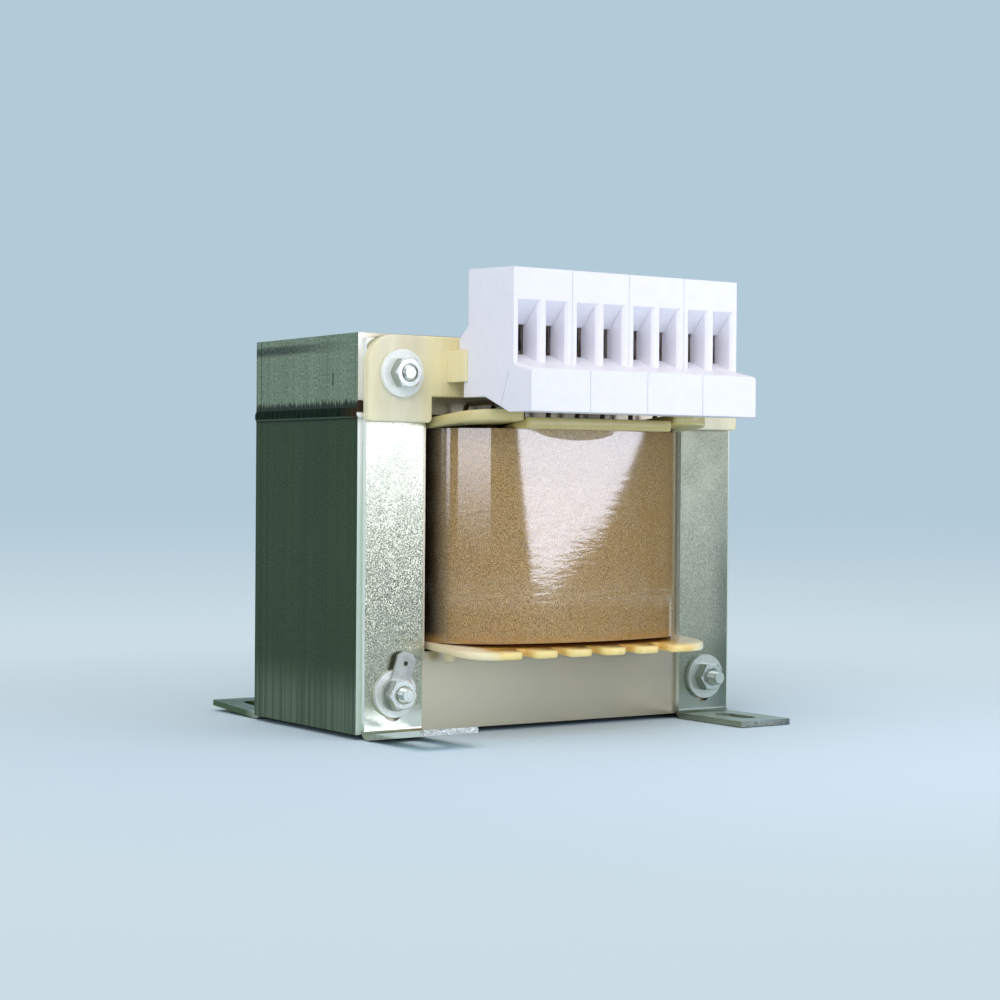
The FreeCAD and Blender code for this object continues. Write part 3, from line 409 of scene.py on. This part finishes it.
def make_carrier_nylon():
    """Pale yellow nylon, cloudy inside, warmer at the ears' outer edge and along the rail."""
    fixed = {"Subsurface_Weight": 0.15, "Subsurface_Scale": 2.0 * MM, "Subsurface_Radius": (1.0, 0.8, 0.5),
             "Coat_Weight": 0.2, "Coat_Roughness": 0.15}
    material, tree, shader = new_material("carrier_nylon", roughness=0.36, **fixed)
    haze = place(tree, grain, Size=6.0, Stretch_Z=3.0, Detail=5.0, Low=0.3, High=0.75)
    flow = place(tree, grain, Size=0.8, Stretch_Z=14.0, Detail=3.0, Low=0.3, High=0.7)
    side = maths(tree, "ABSOLUTE", axes(tree)["X"])
    rim = ramp(tree, side, core_half_width - 5.5, core_half_width - 1.5)
    inner = ramp(tree, side, core_half_width - 14.0, core_half_width - 20.0)
    tone = blend(tree, haze["Mask"], linear(226, 218, 184), linear(240, 234, 206))
    tone = wash(tree, tone, rim, 0.6, linear(242, 232, 186))
    tone = wash(tree, tone, inner, 0.8, linear(246, 234, 182))
    tone = wash(tree, tone, flow["Mask"], 0.12, linear(200, 190, 140))
    join(tree, tone, shader, "Base Color")
    join(tree, soft_edge(tree, 0.4), shader, "Normal")
    return material


def make_terminal_plastic():
    """White polyamide with a hairline where the end plate is clipped on."""
    fixed = {"Subsurface_Weight": 0.08, "Subsurface_Scale": 1.5 * MM}
    material, tree, shader = new_material("terminal_plastic", roughness=0.42, **fixed)
    spot = axes(tree)
    haze = place(tree, grain, Size=2.5, Detail=4.0, Low=0.3, High=0.7)
    tone = blend(tree, haze["Mask"], linear(235, 234, 241), linear(238, 237, 244))
    # The hairline runs from the lip's inner corner down to the sloping underside
    top_y, top_z, end_y, end_z = -56.7, 91.5, -53.5, 82.9
    length = math.hypot(end_y - top_y, end_z - top_z)
    from_y = maths(tree, "MULTIPLY", maths(tree, "SUBTRACT", spot["Y"], top_y), (end_z - top_z) / length)
    from_z = maths(tree, "MULTIPLY", maths(tree, "SUBTRACT", spot["Z"], top_z), (top_y - end_y) / length)
    hair = near_line(tree, maths(tree, "ADD", from_y, from_z), 0.0, 0.05, 0.14)
    hair = both(tree, hair, maths(tree, "LESS_THAN", spot["Z"], top_z), facing(tree, "X"))
    tone = wash(tree, tone, hair, 0.6, linear(150, 154, 162))
    join(tree, tone, shader, "Base Color")
    join(tree, soft_edge(tree, 0.3), shader, "Normal")
    return material


def make_wrapped_paper():
    """Brown paper with short upright fibres, under a tight glossy film that is crinkled lower down."""
    fixed = {"Coat_Weight": 1.0, "Coat_Roughness": 0.07, "Coat_IOR": 2.8, "Specular_IOR_Level": 0.1}
    material, tree, shader = new_material("wrapped_paper", roughness=0.7, **fixed)
    x, y, z = axes(tree)
    fibre = place(tree, grain, Size=0.2, Stretch_Z=1.8, Detail=2.0, Low=0.3, High=0.7)
    fleck = place(tree, grain, Size=0.25, Detail=2.0, Low=0.5, High=0.75)
    cloud = place(tree, grain, Size=20.0, Detail=3.0, Low=0.3, High=0.7)
    tone = blend(tree, fibre["Mask"], linear(122, 95, 48), linear(226, 190, 134))
    tone = wash(tree, tone, fleck["Mask"], 0.35, linear(92, 70, 34))
    tone = wash(tree, tone, cloud["Mask"], 0.15, linear(170, 136, 78))
    # Painted shade makes it duller towards the right and dark where it runs in beside the core; it is amber
    # above the bottom flange
    tone = wash(tree, tone, ramp(tree, x, -14.0, 34.0), 0.45, linear(128, 104, 54))
    window_painted_shade = ramp(tree, maths(tree, "ABSOLUTE", x), 35.4, 38.2)
    tone = wash(tree, tone, window_painted_shade, 0.95, linear(12, 7, 1))
    tone = blend(tree, ramp(tree, z, 26.5, 23.5, 0.0, 0.55), tone, linear(190, 142, 66))
    join(tree, tone, shader, "Base Color")
    join(tree, bump(tree, fibre["Mask"], 0.02), shader, "Normal")
    # The film's crinkles run level round the coil, and they grow downwards
    level_x, level_y = (maths(tree, "MULTIPLY", along, 0.35) for along in (x, y))
    spot = add(tree, "CombineXYZ", None, X=level_x, Y=level_y, Z=z).outputs[0]
    crinkle = add(tree, "TexNoise", None, Vector=spot, Scale=1.3, Detail=3.0, Roughness=0.55).outputs["Fac"]
    loose = ramp(tree, z, 78.0, 40.0, 0.15, 1.0)
    dull = both(tree, ramp(tree, crinkle, 0.42, 0.6), ramp(tree, loose, 0.0, 1.0, 0.05, 0.2))
    gloss = both(tree, maths(tree, "SUBTRACT", 1.0, dull), ramp(tree, window_painted_shade, 0.3, 1.0, 1.0, 0.15))
    join(tree, gloss, shader, "Coat Weight")
    join(tree, bump(tree, both(tree, crinkle, loose), 0.012), shader, "Coat Normal")
    return material


def make_film():
    """Clear film, seen only as a faint haze."""
    material, tree, shader = new_material("clear_film", roughness=0.3)
    haze = place(tree, grain, Size=6.0, Detail=3.0, Low=0.3, High=0.7)
    join(tree, blend(tree, haze["Mask"], linear(214, 208, 204), linear(236, 230, 226)), shader, "Base Color")
    join(tree, ramp(tree, haze["Mask"], 0.0, 1.0, 0.0, 0.015), shader, "Alpha")
    return material


def make_enamelled_copper(name, pitch, dark, light):
    """Enamelled wire, with the turns as fine ridges. The pitch from turn to turn is in millimetres."""
    material, tree, shader = new_material(name, roughness=0.28, metallic=0.7, Coat_Weight=0.4)
    along = maths(tree, "FRACT", maths(tree, "DIVIDE", axes(tree)["Z"], pitch))
    turn = maths(tree, "ABSOLUTE", maths(tree, "SUBTRACT", along, 0.5))
    # Painted shade: each turn is lighter along its middle and darker towards the grooves between turns
    join(tree, blend(tree, turn, light, dark), shader, "Base Color")
    join(tree, bump(tree, maths(tree, "MULTIPLY", turn, -2.0), 0.3), shader, "Normal")
    return material


def make_dark_steel(name, dark, light):
    """Plain steel inside the terminals, with upright streaks."""
    material, tree, shader = new_material(name, roughness=0.42, metallic=0.8)
    stain = place(tree, grain, Size=0.5, Stretch_Z=8.0, Detail=4.0, Low=0.35, High=0.65)
    join(tree, blend(tree, stain["Mask"], dark, light), shader, "Base Color")
    join(tree, bump(tree, stain["Mask"], 0.03), shader, "Normal")
    return material


def dress(material, *names):
    """Gives the nodes with these names their material."""
    for name in names:
        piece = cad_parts[name]
        piece.data.materials.clear()
        piece.data.materials.append(material)


# Two copies of one zinc: the paler is painted light for the front left strap, the darker is painted shade for
# the other straps
strap_zinc_painted_lit = make_zinc("zinc_painted_lit", dark=linear(128, 134, 114), light=linear(209, 210, 185),
                         high=linear(208, 210, 192), bend_painted_light=linear(250, 252, 240), roughness=0.17, tilt=0.14)
strap_zinc_painted_shade = make_zinc("zinc_painted_shade", dark=linear(120, 128, 112), light=linear(184, 189, 165),
                       high=linear(116, 118, 92), bend_painted_light=linear(176, 188, 176), roughness=0.34, tilt=0.09)
fastener_zinc = make_fastener_steel("fastener_zinc", metallic=0.8, shade=0.6)
washer_zinc = make_fastener_steel("washer_zinc", metallic=0.05, shade=0.0)
former_nylon = make_former_nylon()
wrapped_paper = make_wrapped_paper()
clear_film = make_film()
dress(make_core_steel("core_edges", linear(35, 56, 28), linear(52, 77, 42), speckle=0.06), "e_core")
dress(make_core_steel("core_edges_ground", linear(86, 106, 82), linear(126, 146, 122), speckle=0.6), "i_core")
dress(make_weld_metal(), "weld_left", "weld_right")
dress(strap_zinc_painted_lit, "strap_front_left")
dress(strap_zinc_painted_shade, "strap_front_right", "strap_rear_left", "strap_rear_right")
dress(washer_zinc, "front_washers", "rear_washers")
dress(fastener_zinc, "front_nuts", "clamp_bolts")
dress(make_tab_steel(), "earth_tab")
dress(former_nylon, "coil_former")
dress(make_carrier_nylon(), "terminal_carrier")
dress(make_terminal_plastic(), *("terminal_housing_%d" % number for number in range(1, 5)))
dress(wrapped_paper, "paper_wrap")
dress(clear_film, "film_wrap")
dress(make_enamelled_copper("winding_turns", 0.9, linear(150, 78, 42), linear(110, 48, 24)), "winding")
# The leads are single wires, so their pitch is longer than the part is high. Their dark tone is painted shade
# under the terminals
dress(make_enamelled_copper("lead_enamel_painted_shade", 1000.0, linear(58, 40, 24), linear(44, 32, 20)), "winding_leads")
dress(make_dark_steel("clamp_steel", linear(70, 58, 50), linear(140, 126, 116)),
      "clamp_cages", "clamp_screws")
# Painted shade: the solder lugs are dark, as they lie in shade under the terminals
dress(make_dark_steel("lug_metal", linear(66, 62, 48), linear(108, 102, 84)), "solder_lugs")


def new_piece(name, points, faces, material, smooth=True):
    """A mesh with one material, linked to the scene."""
    mesh = bpy.data.meshes.new(name)
    mesh.from_pydata([tuple(point) for point in points], [], faces)
    mesh.validate()
    mesh.update()
    for face in mesh.polygons:
        face.use_smooth = smooth
    mesh.materials.append(material)
    piece = bpy.data.objects.new(name, mesh)
    bpy.context.scene.collection.objects.link(piece)
    return piece


def loft(rings, close_start=True, close_end=True):
    """Points and faces of a surface through rings that all have the same number of points."""
    count = len(rings[0])
    points = [point for ring in rings for point in ring]
    faces = []
    for ring in range(len(rings) - 1):
        for step in range(count):
            first, after = ring * count + step, ring * count + (step + 1) % count
            faces.append((first, after, after + count, first + count))
    if close_start:
        faces.append(tuple(reversed(range(count))))
    if close_end:
        faces.append(tuple(range(len(points) - count, len(points))))
    return points, faces


def crease(piece, degrees):
    """Keeps the edges sharp that bend by more than the angle."""
    modifier = piece.modifiers.new("crease", "EDGE_SPLIT")
    modifier.split_angle = math.radians(degrees)


def hexagon_reach(angle, flats):
    """Distance from the middle of a hexagon to its side, at an angle."""
    sixth = math.pi / 3
    turned = angle % sixth - sixth / 2
    return flats / 2 / math.cos(turned)


def ring_at(centre, depth, reach):
    """Points round a bolt axis. reach gives the radius at each angle, depth the Y at each angle."""
    points = []
    for step in range(ROUND_STEPS):
        angle = 2 * math.pi * step / ROUND_STEPS
        radius = reach(angle)
        across, up = radius * math.cos(angle), radius * math.sin(angle)
        points.append((centre[0] + across, depth(angle), centre[1] + up))
    return points


def flat_ring(centre, depth, radius):
    """A plain circle round a bolt axis."""
    return ring_at(centre, lambda angle: depth, lambda angle: radius)


def chamfered_hexagon(centre, seat, outward, thick, flats, bore, both_ends):
    """Rings of a nut or a bolt head whose corners are turned off by a cone. outward is +1 or -1 along Y."""
    face_radius = flats / 2 * 0.96
    slope = math.tan(math.radians(28))
    lead_in, first_turn = 0.35 * MM, 0.4 * MM
    top = seat + thick * outward

    def corner(angle):
        return hexagon_reach(angle, flats)

    def cut(angle):
        return max(0.0, (corner(angle) - face_radius)) * slope

    rings = []
    if bore:
        rings.append(flat_ring(centre, seat + first_turn * outward, bore))
        rings.append(flat_ring(centre, seat, bore + lead_in))
    if both_ends:
        rings.append(flat_ring(centre, seat, face_radius))
        rings.append(ring_at(centre, lambda angle: seat + cut(angle) * outward, corner))
    else:
        rings.append(ring_at(centre, lambda angle: seat, corner))
    rings.append(ring_at(centre, lambda angle: top - cut(angle) * outward, corner))
    rings.append(flat_ring(centre, top, face_radius))
    if bore:
        rings.append(flat_ring(centre, top, bore + lead_in))
        rings.append(flat_ring(centre, top - lead_in * outward, bore))
        rings.append(rings[0])
    if outward > 0:
        rings.reverse()
    return rings


def threaded_rod(centre, start, end, radius, pitch, smooth_length):
    """Rings of a rod along Y from start to end: smooth at first, then a thread up to its blunt end."""
    outward = 1 if end > start else -1
    depth, tip_length, tip_depth = pitch * 0.55, 0.6 * MM, 0.5 * MM
    rings_a_turn = 8
    length = abs(end - start)
    threaded = length - smooth_length
    count = int(threaded / (pitch / rings_a_turn))
    thread_stations = [smooth_length + threaded * step / count for step in range(1, count + 1)]

    def reach(angle, station):
        if station <= smooth_length:
            return radius
        phase = (station / pitch + outward * angle / (2 * math.pi)) % 1.0
        cut = depth * abs(phase - 0.5) * 2
        near_end = max(0.0, 1 - (length - station) / tip_length)
        return radius - max(cut, near_end * tip_depth)

    rings = []
    for station in [0.0, smooth_length] + thread_stations:
        at = start + station * outward
        rings.append(ring_at(centre, lambda angle: at, lambda angle: reach(angle, station)))
    if outward > 0:
        rings.reverse()
    return rings


def make_fasteners():
    """Nuts with turned corners and bolts with real threads, over the plain ones of the frame."""
    across, flats, pitch, smooth_length = 4.0 * MM, 7.0 * MM, 0.7 * MM, 46 * MM
    bolt_low, bolt_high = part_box("clamp_bolts")
    tab_low, tab_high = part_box("earth_tab")
    bolt_x = bolt_high[0] - flats / math.sqrt(3)
    levels = (("lower", bolt_low[2] + flats / 2), ("upper", bolt_high[2] - flats / 2))
    # An upper nut sits on the washer over the carrier's ear, a lower one on the strap's or on the earth tab
    ear_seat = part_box("front_washers")[0][1]
    lower_seats = {"left": tab_low[1], "right": tab_high[1]}
    nut_thick = ear_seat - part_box("front_nuts")[0][1]
    head_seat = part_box("rear_washers")[1][1]
    head_thick = bolt_high[1] - head_seat
    bore = across / 2 + 0.02 * MM
    for side, side_name in ((-1, "left"), (1, "right")):
        for level, height in levels:
            centre = (bolt_x * side, height)
            seat = ear_seat if level == "upper" else lower_seats[side_name]
            name = "%s_%s" % (level, side_name)
            rings = chamfered_hexagon(centre, seat, -1, nut_thick, flats, bore, both_ends=True)
            nut = new_piece("nut_" + name, *loft(rings, False, False), fastener_zinc)
            head_rings = chamfered_hexagon(centre, head_seat, 1, head_thick, flats, 0.0, both_ends=False)
            head = new_piece("bolt_head_" + name, *loft(head_rings), fastener_zinc)
            rod_rings = threaded_rod(centre, head_seat, bolt_low[1], across / 2, pitch, smooth_length)
            rod = new_piece("bolt_rod_" + name, *loft(rod_rings), fastener_zinc)
            for piece, node in ((nut, "front_nuts"), (head, "clamp_bolts"), (rod, "clamp_bolts")):
                crease(piece, 28)
                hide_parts(node)
                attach(piece, "root")


make_fasteners()


def soften(node, name, radius, material):
    """A moulded node with its sharp edges rounded. The radius is in millimetres."""
    same_point, same_face, sharp = 0.001 * MM, math.radians(1.5), math.radians(40)
    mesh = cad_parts[node].data.copy()
    mesh.name = name
    work = bmesh.new()
    work.from_mesh(mesh)
    bmesh.ops.remove_doubles(work, verts=work.verts, dist=same_point)
    bmesh.ops.dissolve_limit(work, angle_limit=same_face, verts=work.verts, edges=work.edges)
    work.to_mesh(mesh)
    work.free()
    mesh.materials.clear()
    mesh.materials.append(material)
    for face in mesh.polygons:
        face.use_smooth = True
    piece = bpy.data.objects.new(name, mesh)
    bpy.context.scene.collection.objects.link(piece)
    modifier = piece.modifiers.new("round", "BEVEL")
    modifier.width = radius * MM
    modifier.segments = 3
    modifier.limit_method = "ANGLE"
    modifier.angle_limit = sharp
    modifier.use_clamp_overlap = False
    modifier.harden_normals = True
    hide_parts(node)
    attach(piece, "root")


soften("coil_former", "former_moulding", radius=0.55, material=former_nylon)


def coil_outline(inset, steps):
    """Plan view of the wrapped coil in millimetres: flat sides, round corners, bulging front and back."""
    crown, corner = 90.0, 19.0
    corner_x = wrap_side - corner
    meet = math.asin(corner_x / (crown - corner))
    corner_y = (crown - corner) * math.cos(meet) - (crown - wrap_front)
    half = []
    for step in range(steps + 1):
        turn = math.pi * (step / steps - 0.5)
        if abs(turn) < meet:
            reach = crown - inset
            half.append((reach * math.sin(turn), crown - wrap_front - reach * math.cos(turn)))
        else:
            reach = corner - inset
            out_x, out_y = reach * math.sin(turn), reach * math.cos(turn)
            half.append((math.copysign(corner_x, turn) + out_x, -corner_y - out_y))
    return half + [(-x, -y) for x, y in half]


def wrapped_surface(x, y, z, slack):
    """A point of the wrap: pressed in under the top flange at the middle, and slightly slack lower down."""
    dent_x, dent_half_width, dent_deep, dent_slope = -5.7, 12.5, 3.0, 0.155
    across = 1 - ((x - dent_x) / dent_half_width) ** 2
    pressed = 0.0
    if across > 0:
        pressed = max(0.0, z - wrap_top + dent_deep * math.sqrt(across)) * dent_slope
    looser = 1.15 - (z - wrap_foot) / (wrap_top - wrap_foot)
    broad = noise.noise(Vector((x * 0.2, y * 0.2, z * 0.9)))
    fine = noise.noise(Vector((x * 0.5, y * 0.5, z * 1.8)))
    away = pressed - (broad + 0.5 * fine) * slack * looser
    length = math.hypot(x, y)
    return (x * (1 - away / length) * MM, y * (1 - away / length) * MM, z * MM)


def make_wrap(name, node, material, inset, thick, steps, rows, slack):
    """The paper or the film round the coil, as a closed band. Lengths are in millimetres."""
    rings = []
    outer, inner = coil_outline(inset, steps), coil_outline(inset + thick, steps)
    for row in range(rows + 1):
        z = wrap_foot + (wrap_top - wrap_foot) * row / rows
        rings.append([wrapped_surface(x, y, z, slack) for x, y in outer])
    for z in (wrap_top, wrap_foot):
        rings.append([wrapped_surface(x, y, z, 0.0) for x, y in inner])
    rings.append(rings[0])
    piece = new_piece(name, *loft(rings, False, False), material)
    crease(piece, 40)
    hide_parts(node)
    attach(piece, "root")


make_wrap("paper_roll", "paper_wrap", wrapped_paper,
          inset=0.2, thick=0.4, steps=160, rows=200, slack=0.006)
make_wrap("film_sleeve", "film_wrap", clear_film,
          inset=0.0, thick=0.1, steps=90, rows=24, slack=0.0)

backdrop_tint = linear(179, 202, 216)


def make_stage():
    """A pale floor that fades into the backdrop, and a studio of the same tint."""
    material, tree, shader = new_material("floor", roughness=0.9, Specular_IOR_Level=0.0)
    haze = place(tree, grain, Size=400.0, Detail=2.0, Low=0.2, High=0.8)
    join(tree, blend(tree, haze["Mask"], linear(212, 233, 247), linear(214, 235, 249)), shader, "Base Color")
    # Beyond the part's shadow the floor glows by itself, and further out it takes the backdrop's tint
    shadow_ends, all_glow, half_way = 110.0, 300.0, 600.0
    squares = [both(tree, along, along) for along in (axes(tree)["X"], axes(tree)["Y"])]
    away = maths(tree, "SQRT", maths(tree, "ADD", *squares))
    nearness = maths(tree, "DIVIDE", half_way, maths(tree, "ADD", away, half_way))
    tint = blend(tree, ramp(tree, nearness, 0.72, 0.08), linear(204, 221, 229), backdrop_tint)
    glow = add(tree, "Emission", None, Color=tint, Strength=1.0).outputs[0]
    outside = ramp(tree, away, shadow_ends, all_glow)
    mixed = add(tree, "MixShader", None, _0=outside, _1=shader.outputs[0], _2=glow)
    tree.links.new(mixed.outputs[0], tree.nodes["Material Output"].inputs["Surface"])
    size = 40.0
    corners = [(-size, -size, 0), (size, -size, 0), (size, size, 0), (-size, size, 0)]
    floor = new_piece("floor", corners, [(0, 1, 2, 3)], material, smooth=False)
    floor.location.z = -0.2 * MM
    world = bpy.data.worlds.new("studio")
    bpy.context.scene.world = world
    world.use_nodes = True
    tree = world.node_tree
    tree.nodes.clear()
    rays = add(tree, "LightPath").outputs
    seen = maths(tree, "MAXIMUM", rays["Is Camera Ray"], rays["Is Glossy Ray"])
    seen = maths(tree, "MAXIMUM", seen, rays["Is Transmission Ray"])
    around = add(tree, "Background", None, Color=(1.0, 0.98, 0.93, 1.0), Strength=0.5)
    behind = add(tree, "Background", None, Color=backdrop_tint, Strength=1.0)
    mixed = add(tree, "MixShader", None, _0=seen, _1=around.outputs[0], _2=behind.outputs[0])
    tree.links.new(mixed.outputs[0], tree.nodes.new("ShaderNodeOutputWorld").inputs["Surface"])


def around_coil(angle, height, distance):
    """A point round the coil: angle in degrees to the right of the front."""
    turn = math.radians(angle)
    return (distance * math.sin(turn), -distance * math.cos(turn), height)


def bare_material(name):
    """An empty material, its tree and the socket that its surface goes into."""
    material = bpy.data.materials.new(name)
    material.use_nodes = True
    tree = material.node_tree
    tree.nodes.clear()
    return material, tree, tree.nodes.new("ShaderNodeOutputMaterial").inputs["Surface"]


def panel_material(name, strength, fade):
    """The light of a panel, which comes up between the two heights of fade where they are given."""
    material, tree, surface = bare_material(name)
    glow = add(tree, "Emission", None, Color=(0.9, 0.94, 1.14, 1.0), Strength=strength)
    if fade:
        low, high = fade
        tree.links.new(ramp(tree, axes(tree)["Z"], low, high, 0.0, strength), glow.inputs["Strength"])
    tree.links.new(glow.outputs[0], surface)
    return material


def card_material(name, distance):
    """A black card that thins out upwards and towards the back, so that no piece mirrors a hard end of it."""
    material, tree, surface = bare_material(name)
    spot = axes(tree)
    to_back = ramp(tree, spot["Y"], 650.0 * distance, 200.0 * distance)
    solid = both(tree, to_back, ramp(tree, spot["Z"], 350.0, 150.0))
    clear = add(tree, "BsdfTransparent").outputs[0]
    black = add(tree, "Emission", None, Strength=0.0).outputs[0]
    mixed = add(tree, "MixShader", None, _0=solid, _1=clear, _2=black)
    tree.links.new(mixed.outputs[0], surface)
    return material


def make_panel(name, distance, stations, strength=0.0, fade=None):
    """A curved panel round the coil that the camera doesn't see, or without a strength a dark card.
    Each station is an angle in degrees with a lower and an upper height in metres. fade is in millimetres."""
    material = panel_material(name, strength, fade) if strength else card_material(name, distance)
    points, faces = [], []
    for number, (angle, low, high) in enumerate(stations):
        points += [around_coil(angle, low, distance), around_coil(angle, high, distance)]
        if number:
            start = number * 2 - 2
            faces.append((start, start + 2, start + 3, start + 1))
    panel = new_piece(name, points, faces, material, smooth=False)
    panel.visible_camera = False
    if not strength:
        panel.visible_diffuse = False
        panel.visible_shadow = False
        panel.visible_transmission = False


def make_lamp(name, place_at, size, energy, mirrored):
    """A soft lamp aimed at the middle of the part."""
    light = bpy.data.lights.new(name, "AREA")
    light.energy = energy
    light.size = size
    light.color = (1.0, 0.96, 0.91)
    lamp = bpy.data.objects.new(name, light)
    lamp.location = place_at
    lamp.visible_glossy = mirrored
    lamp.rotation_euler = (Vector((0, 0, 0.05)) - lamp.location).to_track_quat("-Z", "Y").to_euler()
    bpy.context.scene.collection.objects.link(lamp)


def make_lights():
    """Three light panels where the film mirrors them, two dark cards for the rest of it, and two lamps."""
    panels_away, card_away, skirt_away = 0.62, 0.66, 0.3
    # The key panel's lower edge draws the outline of the large highlight, the wedge that narrows downwards
    key = [(0, 0.2, 0.27), (3.5, 0.091, 0.27), (6, 0.055, 0.27), (9.5, 0.016, 0.27), (16, 0.012, 0.27),
           (28, 0.03, 0.27), (38, 0.042, 0.27), (48, 0.066, 0.27), (57, 0.091, 0.27), (62, 0.12, 0.27)]
    left = [(angle, 0.012, 0.4) for angle in range(-75, -25, 7)]
    narrow = [(-102, 0.03, 0.4), (-88, 0.03, 0.4)]
    make_panel("key_panel", panels_away, key, 2.7)
    make_panel("left_panel", panels_away, left, 1.6, (28.0, 86.0))
    make_panel("narrow_panel", panels_away, narrow, 1.7, (30.0, 90.0))
    make_panel("dark_card", card_away, [(angle, 0, 0.35) for angle in range(-140, 141, 5)])
    make_panel("dark_skirt", skirt_away, [(angle, 0, 0.0176) for angle in range(-90, 91, 10)])
    make_lamp("ceiling", (-0.2, -0.3, 1.3), size=1.2, energy=5.0, mirrored=True)
    make_lamp("fill", (-0.76, -0.88, 0.5), size=0.7, energy=12.5, mirrored=False)


def make_camera():
    """The photograph's viewpoint, from a pinhole camera fitted to the edges of the core and the straps."""
    place_mm = Vector((-333.53, -491.58, 64.47))
    yaw, pitch, roll = math.radians(34.240), math.radians(-0.493), math.radians(0.426)
    focal_pixels, frame_pixels = 2170.69, 1000
    ahead = Vector((math.sin(yaw) * math.cos(pitch), math.cos(yaw) * math.cos(pitch), math.sin(pitch)))
    level = Vector((math.cos(yaw), -math.sin(yaw), 0))
    upright = level.cross(ahead)
    right = level * math.cos(roll) + upright * math.sin(roll)
    up = upright * math.cos(roll) - level * math.sin(roll)
    data = bpy.data.cameras.new("photo_view")
    data.sensor_width = 36
    data.lens = focal_pixels / frame_pixels * data.sensor_width
    data.clip_start = 0.01
    camera = bpy.data.objects.new("photo_view", data)
    turn = Matrix((right, up, -ahead)).transposed().to_4x4()
    camera.matrix_world = Matrix.Translation(place_mm * MM) @ turn
    bpy.context.scene.collection.objects.link(camera)
    bpy.context.scene.camera = camera


make_stage()
make_lights()
make_camera()
bpy.context.scene.view_settings.view_transform = "Standard"
bpy.context.view_layer.update()
